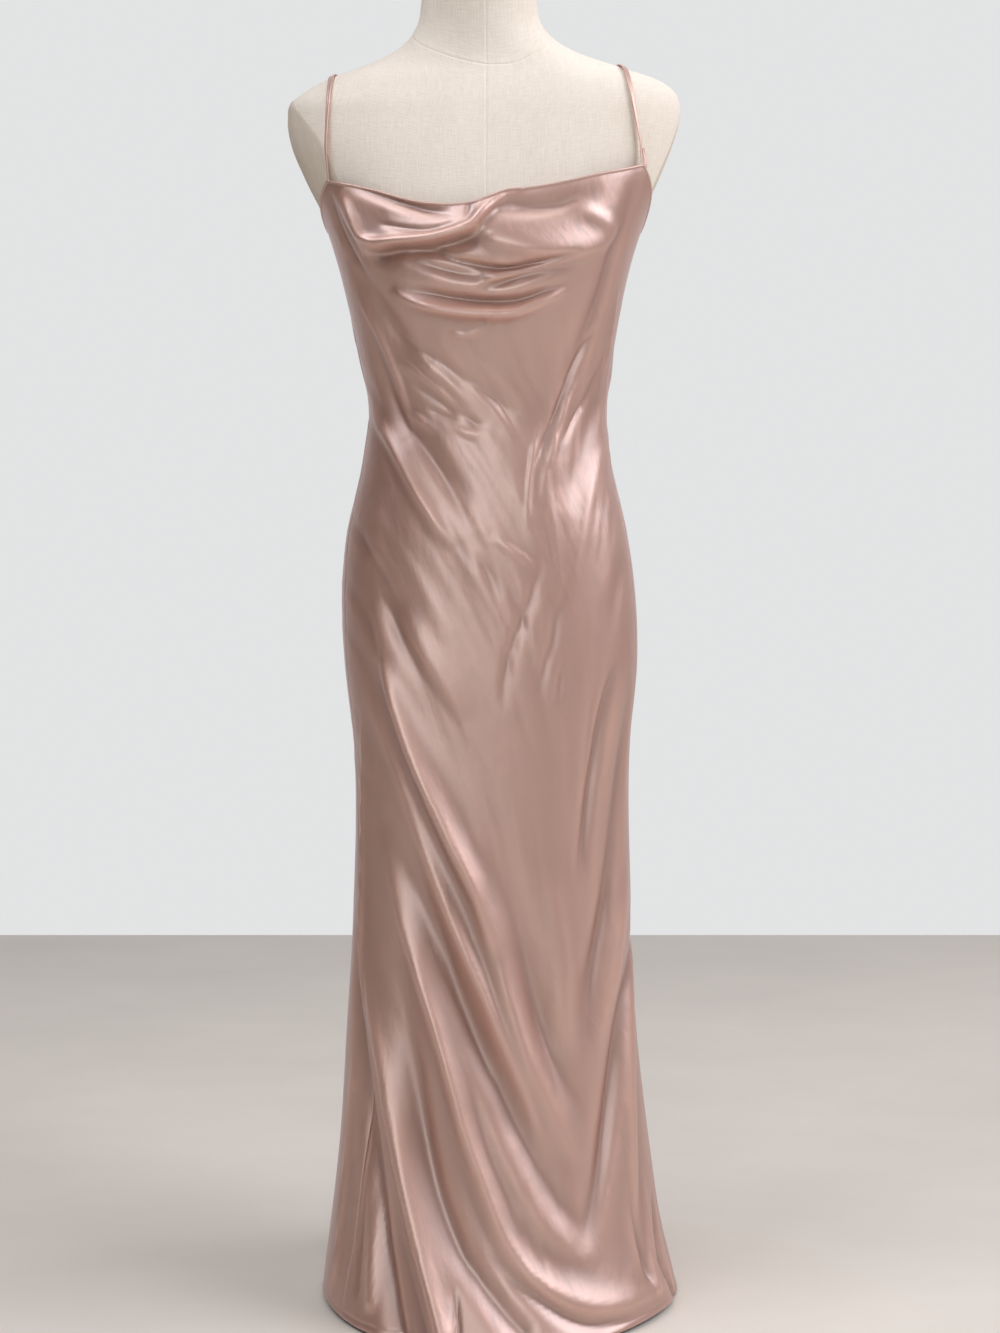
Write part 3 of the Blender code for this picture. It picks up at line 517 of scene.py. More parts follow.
# Folds marked on the photo: half width on the left and on the right of their direction,
# sharpness, and then, at points along them, the pixels across and down and the rise. Widths and
# rises are in millimetres; a rise below 0 is a hollow.
FRONT_FOLDS = (
    # neckline drape
    (5, 6, 2.0, ((350, 185, -1), (375, 194, -5), (400, 202, -7), (425, 209, -6), (447, 213, -2))),
    (18, 5, 1.8, ((345, 196, 2), (356, 222, 6), (376, 245, 9), (402, 241, 10), (430, 239, 10),
        (455, 232, 10), (471, 225, 9), (483, 211, 7), (500, 198, 4), (517, 190, 1))),
    (3.5, 3, 2.0, ((347, 198, 0), (356, 216, 3), (371, 240, 4), (402, 240, 4.5), (430, 237, 4.5),
        (455, 230, 4.5), (470, 223, 4), (483, 209, 3), (500, 196, 1))),
    (3, 3, 2.0, ((386, 225, -1), (405, 229, -2.5), (428, 230, -2.5), (448, 226, -1.5), (464, 219, 0))),
    (8, 4, 2.0, ((471, 199, -1), (471, 210, -4), (468, 224, -1))),
    (13, 10, 2.0, ((500, 208, -3), (528, 207, -8), (556, 206, -7), (582, 197, -3), (604, 187, 0))),
    (22, 10, 1.9, ((474, 231, 2), (498, 240, 6), (528, 248, 8), (560, 251, 8), (590, 247, 6),
        (611, 235, 3.5), (625, 214, 1.5), (633, 192, 0))),
    (8, 9, 2.0, ((566, 203, 0), (588, 212, 2), (607, 224, 2), (619, 242, 0))),
    (5, 11, 2.0, ((370, 254, -2), (395, 250, -7.5), (430, 247, -9), (458, 241, -7.5), (478, 235, -2))),
    (4, 7, 1.9, ((405, 250, 0), (430, 252, -3.5), (455, 259, -6.5), (482, 265, -9), (505, 268, -9.5),
        (530, 264, -8.5), (556, 257, -5.5), (581, 252, 0))),
    (6, 7, 2.0, ((405, 259, 0), (430, 265, -4.5), (456, 272, -6), (478, 276, -4), (492, 280, 0))),
    (4, 5, 1.8, ((474, 286, 1), (500, 276, 4), (530, 269, 5), (558, 261, 4), (580, 254, 1))),
    (4.5, 7, 2.0, ((477, 286, -1), (500, 281, -6), (530, 273, -6), (568, 263, -1))),
    (7, 5, 2.0, ((404, 286, 0), (430, 293, -4), (460, 299, -6.5), (490, 302, -7.5), (520, 300, -6),
        (546, 291, -3.5), (567, 282, 0))),
    (6, 7, 1.7, ((391, 288, 0), (409, 300, 5.5), (430, 307, 8.5), (460, 312, 9.5), (490, 314, 9.5),
        (516, 312, 8.5), (542, 302, 5.5), (567, 287, 0))),
    (3, 3, 2.0, ((450, 331, 0), (464, 336, 2.5), (478, 332, 1.5), (486, 324, 0))),
    (3, 4, 2.0, ((472, 318, 0), (484, 321, -2), (480, 328, 0))),
    # sides of the bodice
    (8, 5, 2.0, ((335, 188, 1), (346, 211, 4), (357, 232, 5), (368, 250, 4), (376, 266, 1))),
    (5, 5, 2.0, ((331, 196, -1), (340, 225, -4), (351, 250, -4), (363, 270, -1))),
    (13, 15, 2.0, ((354, 262, -2), (370, 290, -6), (388, 318, -8), (408, 344, -6), (434, 364, -1))),
    (4, 3, 1.8, ((358, 297, 0), (372, 322, 2), (386, 349, 2.5), (397, 376, 2.5), (406, 402, 2),
        (414, 434, 0))),
    (8, 10, 2.0, ((372, 335, -1), (385, 372, -4), (396, 405, -5), (408, 436, -1))),
    (9, 14, 2.0, ((636, 180, -1), (626, 213, -3.5), (614, 250, -5.6), (603, 288, -6.2), (590, 325, -5.8),
        (577, 358, -4.6), (565, 390, -1))),
    (6, 3, 1.9, ((600, 322, 0), (583, 350, -3), (567, 382, -4), (555, 412, -4), (546, 438, -3),
        (535, 468, 0))),
    (4, 3, 2.0, ((607, 348, 0), (595, 375, -2), (583, 400, -2.5), (570, 425, -2), (562, 446, 0))),
    (5, 5, 2.0, ((578, 372, 0), (566, 404, 2), (556, 436, 2), (548, 470, 1.5), (541, 508, 0))),
    (3, 2.5, 2.0, ((541, 420, 0), (533, 452, 1.5), (528, 490, 1.5), (526, 530, 0))),
    (16, 16, 2.0, ((607, 345, 0), (600, 382, -2.4), (592, 416, -3.2), (584, 450, -3.2), (575, 480, -2.4),
        (565, 514, 0))),
    (9, 6, 2.0, ((609, 425, 0), (600, 455, 1.3), (592, 485, 1.7), (586, 515, 1.5), (580, 552, 1.2),
        (573, 592, 0))),
    (5, 4, 2.0, ((605, 450, 0), (607, 490, 0.9), (606, 530, 0.9), (602, 568, 0))),
    (3, 3, 2.0, ((619, 282, 0), (611, 328, 2), (604, 368, 2.5), (598, 406, 0))),
    # front of the waist
    (6, 8, 2.0, ((390, 337, 0), (415, 354, 2), (443, 378, 2.4), (470, 402, 1.4), (500, 430, 0))),
    (4, 5, 2.0, ((398, 357, 0), (422, 376, 1.8), (444, 396, 1.8), (466, 416, 0))),
    (6, 8, 2.0, ((448, 340, 0), (478, 364, 1), (506, 388, 1.2), (538, 422, 0))),
    (5, 6, 2.0, ((462, 380, 0), (484, 400, 1), (504, 422, 1), (524, 448, 0))),
    (6, 7, 2.0, ((418, 344, 0), (450, 366, -2), (482, 390, -2), (518, 416, 0))),
    (6, 6, 2.0, ((396, 368, 0), (422, 388, -2), (446, 404, -2), (464, 416, 0))),
    (4, 5, 2.0, ((407, 410, 0), (421, 420, 2), (437, 432, 0))),
    (4, 4, 2.0, ((427, 406, 0), (441, 415, -2), (456, 421, 0))),
    (4, 4, 2.0, ((451, 424, 0), (466, 433, 2.2), (482, 436, 0))),
    (4.5, 4, 2.0, ((458, 412, 0), (473, 421, -2.2), (487, 431, 0))),
    (10, 6, 1.8, ((371, 404, 0), (382, 426, 2.6), (394, 446, 5.5), (410, 478, 6.8), (426, 506, 6),
        (440, 530, 3.5), (457, 548, 0))),
    (14, 10, 2.0, ((400, 414, -1), (418, 440, -4), (436, 466, -5), (454, 492, -4), (470, 518, -1))),
    (14, 13, 2.0, ((384, 486, 0), (380, 530, 2.2), (377, 576, 0))),
    # short creases over the hips
    (4, 5, 2.0, ((490, 535, 0), (506, 546, 1.6), (521, 556, 1.8), (535, 567, 0))),
    (5, 5, 2.0, ((476, 552, 0), (489, 574, -1.6), (503, 600, 0))),
    (8, 6, 1.9, ((543, 552, 0), (536, 580, -1.5), (527, 606, -2.2), (517, 632, -2.6), (509, 657, -2.6),
        (504, 684, -1.8), (502, 716, 0))),
    (8, 5, 2.0, ((566, 582, 0), (558, 612, -1.5), (551, 642, -2.2), (544, 668, -2), (538, 698, 0))),
    (5, 5, 2.0, ((562, 660, 0), (558, 688, -2), (554, 716, 0))),
    # long folds from the left hip down to the right
    (12, 10, 2.0, ((372, 562, 0), (382, 588, -2.6), (394, 619, -5.5), (408, 650, -3.4), (424, 676, -1))),
    (16, 7, 2.0, ((400, 606, 0), (414, 634, 4), (430, 663, 6), (446, 689, 4), (466, 720, 0))),
    (24, 9, 1.5, ((376, 600, 0), (383, 636, 5), (391, 676, 9), (403, 717, 11), (419, 763, 12),
        (440, 813, 12), (461, 862, 11), (477, 900, 9), (487, 930, 6), (495, 960, 1))),
    (11, 6, 1.7, ((386, 660, 0), (396, 697, 4), (411, 745, 6), (431, 795, 7), (452, 842, 7),
        (470, 880, 6), (484, 915, 4), (495, 955, 0))),
    (14, 11, 2.0, ((484, 905, 0), (494, 945, 5), (503, 983, 8), (513, 1016, 9), (524, 1048, 9),
        (537, 1080, 8), (551, 1112, 6), (566, 1144, 3), (580, 1168, 0))),
    (10, 8, 1.4, ((364, 680, 0), (378, 720, 2), (395, 768, 3), (411, 814, 4), (427, 856, 6),
        (441, 892, 8), (454, 926, 9), (467, 957, 10), (480, 986, 10), (494, 1020, 10), (508, 1053, 9),
        (522, 1088, 7), (537, 1122, 4), (556, 1160, 0))),
    (14, 15, 2.0, ((394, 826, -1), (410, 870, -4), (425, 907, -7), (441, 948, -9), (456, 988, -10),
        (471, 1026, -10), (487, 1063, -9), (502, 1094, -8), (518, 1128, -7), (534, 1161, -5.5),
        (551, 1193, -4), (569, 1220, -2), (588, 1238, 0))),
    (12, 10, 1.5, ((383, 828, 0), (390, 866, 2), (398, 900, 4), (406, 930, 7), (415, 958, 9),
        (424, 986, 11), (433, 1013, 12), (442, 1043, 13), (450, 1072, 14), (457, 1100, 14),
        (464, 1126, 14), (472, 1152, 13), (481, 1177, 12), (491, 1206, 11), (503, 1236, 9),
        (519, 1263, 7), (539, 1285, 5), (563, 1303, 3), (590, 1313, 1))),
    (20, 10, 2.0, ((468, 1052, 0), (480, 1090, 2), (491, 1124, 3), (504, 1156, 4), (520, 1188, 4),
        (540, 1220, 4), (566, 1246, 3), (600, 1262, 0))),
    (14, 14, 2.0, ((393, 922, -1), (401, 975, -4), (409, 1036, -7), (417, 1088, -9), (425, 1138, -10),
        (435, 1184, -10), (447, 1224, -10), (461, 1256, -10), (481, 1286, -9), (503, 1315, -8),
        (521, 1336, -8))),
    (14, 9, 1.6, ((363, 880, 0), (366, 940, 2), (370, 985, 4), (375, 1018, 6), (381, 1048, 8),
        (387, 1078, 10), (392, 1106, 12), (398, 1136, 13), (404, 1169, 14), (411, 1202, 14),
        (418, 1234, 14), (426, 1267, 14), (435, 1302, 14), (443, 1335, 14))),
    (4, 3, 2.0, ((362, 700, 0), (364, 790, 3), (364, 880, 4), (364, 970, 4), (365, 1040, 2),
        (367, 1090, 0))),
    (9, 14, 2.0, ((358, 926, -1), (360, 980, -4), (363, 1040, -7), (368, 1100, -9), (374, 1150, -10),
        (380, 1200, -10), (386, 1250, -10), (393, 1300, -10), (399, 1335, -10))),
    (6, 5, 2.0, ((376, 1190, 0), (374, 1230, 2), (372, 1266, 3.5), (371, 1304, 4))),
    (4, 5, 2.0, ((366, 1090, 0), (366, 1145, -2), (364, 1200, -3), (361, 1250, -3), (358, 1292, -2))),
    (6, 6, 2.0, ((355, 1050, 0), (352, 1105, 3), (348, 1165, 5), (343, 1222, 5), (338, 1268, 5),
        (334, 1288, 4))),
    (4, 3, 1.8, ((453, 1286, 0), (456, 1312, -4), (458, 1336, -6))),
    (18, 9, 1.8, ((528, 1272, 1), (550, 1288, 3), (575, 1300, 4.2), (600, 1306, 4.6), (626, 1303, 4),
        (651, 1292, 2.5), (668, 1280, 1))),
    (9, 8, 2.0, ((498, 1262, -1), (520, 1285, -3.5), (545, 1305, -5), (570, 1321, -5), (596, 1327, -4),
        (620, 1320, -1))),
    # right side of the skirt
    (16, 12, 2.0, ((494, 858, -1), (509, 903, -4), (522, 950, -7), (533, 995, -8), (545, 1035, -7),
        (560, 1075, -4), (576, 1112, -1))),
    (12, 18, 2.0, ((546, 858, 0), (557, 910, 3), (564, 960, 5), (566, 1010, 4), (569, 1062, 0))),
    (4, 4, 2.0, ((601, 662, 0), (594, 704, -2), (588, 744, -2), (583, 782, 0))),
    (9, 7, 1.9, ((617, 656, -1), (608, 690, -5), (601, 722, -7), (596, 752, -8), (591, 786, -8),
        (586, 822, -6), (581, 860, -3), (578, 888, 0))),
    (9, 14, 1.9, ((629, 688, -1), (621, 756, -4), (616, 810, -5), (611, 860, -6.5), (606, 905, -8),
        (600, 940, -8.5), (593, 975, -7), (588, 1010, -4), (584, 1050, -1))),
    (14, 9, 2.0, ((627, 868, 0), (621, 910, 3), (615, 950, 4), (608, 990, 4), (601, 1030, 2),
        (596, 1066, 0))),
    (9, 15, 1.9, ((634, 914, -1), (629, 968, -5), (623, 1010, -8), (618, 1050, -10), (613, 1095, -11),
        (608, 1135, -11), (602, 1170, -9), (595, 1205, -6), (586, 1240, -2))),
    (10, 12, 1.9, ((632, 930, 0), (631, 980, 2), (630, 1030, 4), (629, 1080, 6), (629, 1130, 7),
        (629, 1180, 7), (631, 1225, 5), (635, 1268, 2))),
    (6, 4, 2.0, ((624, 1170, 0), (629, 1205, -4), (636, 1242, -6), (647, 1278, -3))),
    (6, 5, 2.0, ((640, 1165, 0), (645, 1213, 3), (650, 1255, 4), (656, 1288, 3))),
    (4, 4, 2.0, ((650, 1186, 0), (655, 1233, -6), (660, 1262, -9), (668, 1283, -8), (677, 1297, -4))),
)
# the back's folds in the same way, with side and height in millimetres in place of the pixels
BACK_FOLDS = (
    (20, 16, 2.0, ((-120, 800, 1), (-80, 560, 11), (-40, 240, 3))),
    (16, 20, 2.0, ((125, 790, 1), (100, 520, 11), (60, 200, 3))),
    (18, 24, 2.0, ((-125, 520, 1), (-105, 260, 14), (-90, -10, 18))),
    (20, 24, 2.0, ((-20, 620, 1), (10, 320, 11), (0, -10, 16))),
    (22, 18, 2.0, ((130, 500, 1), (120, 250, 13), (110, -10, 17))),
    (20, 20, 2.0, ((-70, 460, -1), (-45, 220, -11), (-42, -10, -16))),
    (20, 20, 2.0, ((65, 460, -1), (58, 220, -11), (54, -10, -16))),
    (18, 18, 2.0, ((160, 340, -1), (165, 160, -10), (168, -10, -16))),
    (16, 18, 2.0, ((-150, 360, -1), (-148, 160, -10), (-146, -10, -14))),
    (9, 11, 1.9, ((-108, 1034, 0), (-76, 988, 3), (-34, 950, 0))),
    (11, 9, 1.9, ((106, 1018, 0), (74, 966, 3), (38, 914, 0))),
    (7, 8, 2.0, ((-100, 975, 0), (-78, 930, 2), (-52, 888, 0))),
    (9, 15, 1.8, ((-98, 905, 0), (-62, 768, 3), (-34, 618, 0))),
    (13, 9, 1.8, ((92, 872, 0), (64, 742, 3), (48, 596, 0))),
    (6, 8, 2.0, ((-38, 862, 0), (-22, 804, 2), (-12, 742, 0))),
)


def cloth_point(height, degrees):
    """A point on the dress's inner face before its folds."""
    left, right, front, back, squareness = columns_at(DRESS_SECTIONS, height)
    x, y = ring(left, right, front, back, squareness, degrees)
    return np.stack(np.broadcast_arrays(x, y, height), -1)


def cloth_normal(height, degrees):
    """The level outward direction of the dress there."""
    along = cloth_point(height, degrees + 0.5) - cloth_point(height, degrees - 0.5)
    normal = np.stack((along[..., 1], -along[..., 0], np.zeros(along.shape[:-1])), -1)
    return normal / np.linalg.norm(normal, axis=-1, keepdims=True)


def degrees_at(x, heights, back):
    """The angles at which the dress passes side positions, on its front or its back."""
    degrees = np.linspace(-90, 90, 181)
    if back:
        degrees = 180 - degrees
    across = cloth_point(heights[:, None], degrees[None])[..., 0]
    return np.array([np.interp(place, row, degrees) for place, row in zip(x, across)])


def on_dress(right, down):
    """Side and height, in whole millimetres, where photo pixels show the front of the smooth dress."""
    across = (np.asarray(right) - PHOTO_MIDDLE[0]) / PHOTO_FOCAL
    below = (np.asarray(down) - PHOTO_MIDDLE[1]) / PHOTO_FOCAL
    tilt = math.radians(EYE_DOWN_DEGREES)
    inward = math.cos(tilt) - below * math.sin(tilt)
    upward = -math.sin(tilt) - below * math.cos(tilt)
    y = np.full(len(across), MARK_FIRST_Y)
    for _ in range(MARK_TURNS):
        reach = (y - EYE[1]) / inward
        x, z = PHOTO_EYE_X + across * reach, EYE[2] + upward * reach
        y = (y + cloth_point(z, degrees_at(x, z, False))[:, 1]) / 2
    return np.round(x * 1000), np.round(z * 1000)


def marked_fold(fold):
    """A fold marked on the photo, with its points placed on the dress."""
    left_width, right_width, sharpness, route = fold
    right, down, rise = np.array(route).T
    return left_width, right_width, sharpness, list(zip(*on_dress(right, down), rise))


front_folds = [marked_fold(fold) for fold in FRONT_FOLDS]


def fold_rise(points, fold, back, steps=8):
    """How far one fold lifts each point off the smooth cloth."""
    left_width, right_width, sharpness, route = fold
    route = np.array(route) / 1000
    numbered = np.column_stack((np.arange(len(route)), route))
    x, z, rise = smooth(numbered, np.linspace(0, len(route) - 1, steps * len(route))).T
    path = cloth_point(z, degrees_at(x, z, back))
    path[:, 2] = z
    reach = FOLD_REACH * max(left_width, right_width) / 1000
    near = np.all((points > path.min(0) - reach) & (points < path.max(0) + reach), axis=-1)
    lifted = np.zeros(len(points))
    if not near.any():
        return lifted
    start, run = path[:-1], np.diff(path, axis=0)
    offset = points[near][:, None] - start[None]
    along = np.clip((offset * run).sum(-1) / (run * run).sum(-1), 0, 1)
    away = offset - along[..., None] * run
    distance = np.linalg.norm(away, axis=-1)
    closest = distance.argmin(axis=1)
    rows = np.arange(len(closest))
    travelled = closest + along[rows, closest]
    step, gap = run[closest], away[rows, closest]
    on_left = (step[:, 0] * gap[:, 2] - step[:, 2] * gap[:, 0]) > 0
    if back:
        on_left = ~on_left
    half_width = np.where(on_left, left_width, right_width) / 1000
    height = np.interp(travelled, np.arange(len(path)), rise)
    lifted[near] = height * np.exp(-((distance[rows, closest] / half_width) ** sharpness))
    return lifted


# height, and how far the cloth's faint pulls lean from straight down there, in degrees towards the
# right as they go down: at the left side, in the middle and at the right side of the front
PULL_LEANS = (
    (0.00, -4.0, 6.0, 8.0),
    (0.25, 8.0, 12.0, 0.0),
    (0.50, 18.0, 14.0, -3.0),
    (0.70, 26.0, 22.0, -6.0),
    (0.85, 32.0, 30.0, -14.0),
    (0.98, 27.0, 38.0, -20.0),
    (1.12, 14.0, 36.0, -20.0),
)
PULL_COUNT = 260
PULL_SEED = 5
# a pull's sideways place, height and half length in metres, its half width in millimetres, and its
# rise in millimetres where it is as wide as the next value
PULL_SIDES = (-0.15, 0.0, 0.15)
PULL_HEIGHTS = (0.04, 1.10)
PULL_REACHES = (0.035, 0.095)
PULL_WIDTHS = (3.5, 8.0)
PULL_RISES = (0.2, 0.6)
PULL_RISE_WIDTH = 6
# how much wider a pull is on its other side, and its sharpness
PULL_SKEWS = (0.7, 1.4)
PULL_SHARPNESS = 2.0
# heights between which the pulls grow stronger, and how strong they are there
PULL_GROWTH = (0.6, 0.8), (1.0, 1.8)


def faint_pulls(back):
    """Many faint streaks in the cloth, as folds with a small rise, that follow the way it pulls."""
    random = np.random.default_rng(PULL_SEED + back)
    leans = np.array(PULL_LEANS)
    folds = []
    for _ in range(PULL_COUNT):
        x, z = random.uniform(PULL_SIDES[0], PULL_SIDES[-1]), random.uniform(*PULL_HEIGHTS)
        reach, width = random.uniform(*PULL_REACHES), random.uniform(*PULL_WIDTHS)
        rise = random.choice((-1, 1)) * random.uniform(*PULL_RISES) * width / PULL_RISE_WIDTH
        rise *= np.interp(z, *PULL_GROWTH)
        points = []
        for part in (-1.0, -0.5, 0.0, 0.5, 1.0):
            low = z - part * reach
            lean = [np.interp(low, leans[:, 0], column) for column in leans[:, 1:].T]
            slope = math.tan(math.radians(np.interp(x, PULL_SIDES, lean)))
            points.append(((x + part * reach * slope) * 1000, low * 1000, rise * (1 - part**2)))
        folds.append((width, width * random.uniform(*PULL_SKEWS), PULL_SHARPNESS, tuple(points)))
    return tuple(folds)


def folded_cloth(heights, degrees):
    """The dress's inner face, pressed into its folds."""
    points = cloth_point(heights, degrees)
    normals = cloth_normal(heights, degrees)
    flat = points.reshape(-1, 3)
    rise = np.zeros(len(flat))
    for folds, back in ((front_folds, False), (BACK_FOLDS, True)):
        for fold in folds:
            rise += FOLD_GAIN * fold_rise(flat, fold, back)
    return points + normals * rise.reshape(heights.shape)[..., None]


def pulled_cloth(heights, degrees):
    """The folded cloth with its faint pulls."""
    points, normals = folded_cloth(heights, degrees), cloth_normal(heights, degrees)
    smooth_cloth = cloth_point(heights, degrees).reshape(-1, 3)
    rise = np.zeros(len(smooth_cloth))
    for back in (False, True):
        for fold in faint_pulls(back):
            rise += fold_rise(smooth_cloth, fold, back, steps=2)
    return points + normals * rise.reshape(heights.shape)[..., None]


def hem_height(degrees):
    wrapped = (np.asarray(degrees) + 180) % 360 - 180
    return smooth(HEM_LIFTS, wrapped)[..., 0]


def armhole_height(part, corner):
    """The edge from the underarm, where part is 0, up to the strap, where part is 1."""
    return UNDERARM_HEIGHT + (corner - UNDERARM_HEIGHT) * part**ARMHOLE_BEND


def back_top_height(across):
    """The back's upper edge, where across runs from 0 to 1 between the side seams."""
    middle = np.sin(across * math.pi)
    return UNDERARM_HEIGHT - (UNDERARM_HEIGHT - BACK_TOP) * middle**0.5 - BACK_DIP * middle**4


# distance below the top edge or above the hem, and how far a turned edge stands out there
TOP_ROLL = np.array((
    (0.0000, -0.0007), (0.0004, 0.0004), (0.0010, 0.0009), (0.0018, 0.0010),
    (0.0026, 0.0006), (0.0032, -0.0002), (0.0039, -0.0002), (0.0055, 0.0000),
))
HEM_ROLL = np.array((
    (0.000, -0.0006), (0.0008, 0.0000), (0.003, 0.0003), (0.006, 0.0001),
    (0.0075, -0.0004), (0.009, 0.0001), (0.012, 0.0000),
))
# height from which a spacing of a panel's rows holds, and that spacing
ROW_SPACINGS = ((0.017, 0.0055), (0.09, 0.0082), (0.60, 0.0052), (0.86, 0.0034), (1.03, 0.0024))
TOP_BAND = 0.0075


def panel_rows(top):
    """Heights of a panel's rows where it is as high as top: close at its edges and in the drape."""
    rows = [HEM_ROLL[:, 0]]
    ends = [start for start, _ in ROW_SPACINGS[1:]] + [top - TOP_BAND]
    for (low, step), high in zip(ROW_SPACINGS, ends):
        rows.append(np.linspace(low, high, round((high - low) / step), endpoint=False))
    return np.concatenate(rows + [top - TOP_ROLL[::-1, 0]])


def satin_finish():
    """Silk satin in dusty rose: a close face of long threads that gives a soft, broad gloss, with painted
    shade that makes it darker and browner in the folds' valleys.
    """
    material, tree, shader = new_material("satin_dusty_rose")
    chart = add_node(tree, "ShaderNodeUVMap", uv_map="cloth").outputs["UV"]
    valley_shade = add_node(tree, "ShaderNodeAttribute", attribute_name="valley_shade").outputs["Fac"]
    crumple = stretched_noise(tree, chart, (1.0, 0.6, 1.0), scale=30.0)
    streaks = stretched_noise(tree, chart, (1.0, 0.16, 1.0), scale=110.0, lean=22)
    threads = stretched_noise(tree, chart, (1.0, 0.08, 1.0), scale=1600.0, detail=2.0)
    normal = raised(tree, crumple, distance=0.006, strength=0.7)
    normal = raised(tree, streaks, distance=0.0015, strength=0.7, Normal=normal)
    normal = raised(tree, threads, distance=0.00004, strength=0.7, Normal=normal)
    fill_inputs(tree, shader, {
        # painted shade: the satin's colour goes darker and browner in its folds' valleys
        "Base Color": mix_colors(tree, valley_shade, (0.620, 0.325, 0.235), (0.355, 0.160, 0.104)),
        "Normal": normal,
        "Metallic": 0.5,
        "Roughness": 0.5,
        "Specular IOR Level": 0.0,
        "Sheen Weight": 0.2,
        "Sheen Roughness": 0.3,
        "Sheen Tint": (0.86, 0.80, 1.0, 1.0),
        "Coat Weight": 1.0,
        "Coat Roughness": 0.45,
        "Coat IOR": 2.9,
    })
    return material


satin = satin_finish()

# a panel's columns: shares of its width near a seam, and how many fill its middle; the front has
# others over each armhole and the neckline
BESIDE_SEAM = np.array((0, 0.0035, 0.0075, 0.012, 0.018))
BACK_MIDDLE = np.linspace(0.026, 0.974, 118)
ARMHOLE_SHARE = 0.14
ARMHOLE_PARTS = np.linspace(0.18, 1, 12)
NECK_COLUMNS = 117


def panel_columns(back):
    """How far across each column of a panel lies, from 0 to 1, and the height of its top edge."""
    left_seam, right_seam = smooth(SEAMS, UNDERARM_HEIGHT)
    if back:
        across = np.concatenate((BESIDE_SEAM, BACK_MIDDLE, 1 - BESIDE_SEAM[::-1]))
        return across, back_top_height(across)
    left_corner, right_corner = NECKLINE[0], NECKLINE[-1]
    parts = np.concatenate((BESIDE_SEAM / ARMHOLE_SHARE, ARMHOLE_PARTS))
    neck_degrees = np.linspace(left_corner[0], right_corner[0], NECK_COLUMNS)
    degrees = np.concatenate((
        (left_seam + (left_corner[0] - left_seam) * parts)[:-1],
        neck_degrees,
        (right_seam + (right_corner[0] - right_seam) * parts)[-2::-1],
    ))
    top = np.concatenate((
        armhole_height(parts, left_corner[1])[:-1],
        smooth(NECKLINE, neck_degrees)[:, 0],
        armhole_height(parts, right_corner[1])[-2::-1],
    ))
    return (degrees - left_seam) / (right_seam - left_seam), top


def shade_in_valleys(rise):
    """How deep each point of a panel lies under the cloth around it, 0 on a ridge and 1 in a valley: the
    share of painted shade that darkens the satin there.
    """
    rows, columns = rise.shape
    wide = np.pad(rise, ((VALLEY_SHADE_ROWS // 2,) * 2, (VALLEY_SHADE_COLUMNS // 2,) * 2), mode="edge")
    around = sum(
        wide[row:row + rows, column:column + columns]
        for row in range(VALLEY_SHADE_ROWS) for column in range(VALLEY_SHADE_COLUMNS)
    ) / (VALLEY_SHADE_ROWS * VALLEY_SHADE_COLUMNS)
    return np.clip(0.5 + (around - rise) / VALLEY_SHADE_DEPTH, 0, 1)


def panel_surface(back):
    """The outer face of a panel, with its turned edges and the dip along its side seams, and how much
    painted shade each point gets.
    """
    across, top = panel_columns(back)
    tallest = top.max()
    shares = panel_rows(tallest) / tallest
    edge_count = len(TOP_ROLL)
    heights = shares[:, None] * top
    heights[-edge_count:] = top - TOP_ROLL[::-1, :1]
    for _ in range(2):
        seams = smooth(SEAMS, heights)
        start, end = seams[..., 0], seams[..., 1]
        if back:
            start, end = end, start + 360
        degrees = start + (end - start) * across
        heights = shares[:, None] * top + hem_height(degrees[:1]) * (1 - shares[:, None])
        heights[-edge_count:] = top - TOP_ROLL[::-1, :1]
    points = pulled_cloth(heights, degrees)
    rise = ((points - cloth_point(heights, degrees)) * cloth_normal(heights, degrees)).sum(-1)
    normals = grid_normals(points, around=False)
    relief = np.full(heights.shape, SATIN_PLACE)
    relief[-edge_count:] += TOP_ROLL[::-1, 1:]
    relief[:len(HEM_ROLL)] += HEM_ROLL[:, 1:]
    steps = np.linalg.norm(np.diff(points, axis=1), axis=-1)
    from_left = np.concatenate((np.zeros((len(points), 1)), np.cumsum(steps, 1)), 1)
    from_seam = np.minimum(from_left, from_left[:, -1:] - from_left)
    relief -= SEAM_DIP * np.exp(-((from_seam / SEAM_DIP_WIDTH) ** 2))
    return points + normals * relief[..., None], shade_in_valleys(rise)


def panel_mesh(name, back):
    points, valley_shade = panel_surface(back)
    panel = grid_mesh(name, points, False, satin)
    # the painted valley shade, kept on the mesh for the satin's colour
    panel.data.attributes.new("valley_shade", "FLOAT", "POINT").data.foreach_set("value", valley_shade.ravel())
    return points, panel


def finish_modifiers(piece):
    """A piece with its modifiers worked into its mesh."""
    finished = bpy.data.meshes.new_from_object(piece.evaluated_get(bpy.context.evaluated_depsgraph_get()))
    piece.modifiers.clear()
    piece.data = finished
    return piece


def shell(piece, thickness):
    """A surface made into a shell, given its thickness inward."""
    wall = piece.modifiers.new("thickness", "SOLIDIFY")
    wall.thickness = thickness
    wall.offset = -1
    return finish_modifiers(piece)


panels, panel_points = {}, {}
for side_name, back in (("back", True), ("front", False)):
    panel_points[side_name], panel = panel_mesh(side_name + "_panel", back)
    panels[side_name] = shell(panel, SATIN_THICK)
    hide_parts("dress_" + side_name)
    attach(panel, "root")


# Shoulder straps: a bias strip of the same satin each, folded so that its edges meet behind, pressed
# with a line along it, and sewn behind the neckline's corner and the back's upper edge.

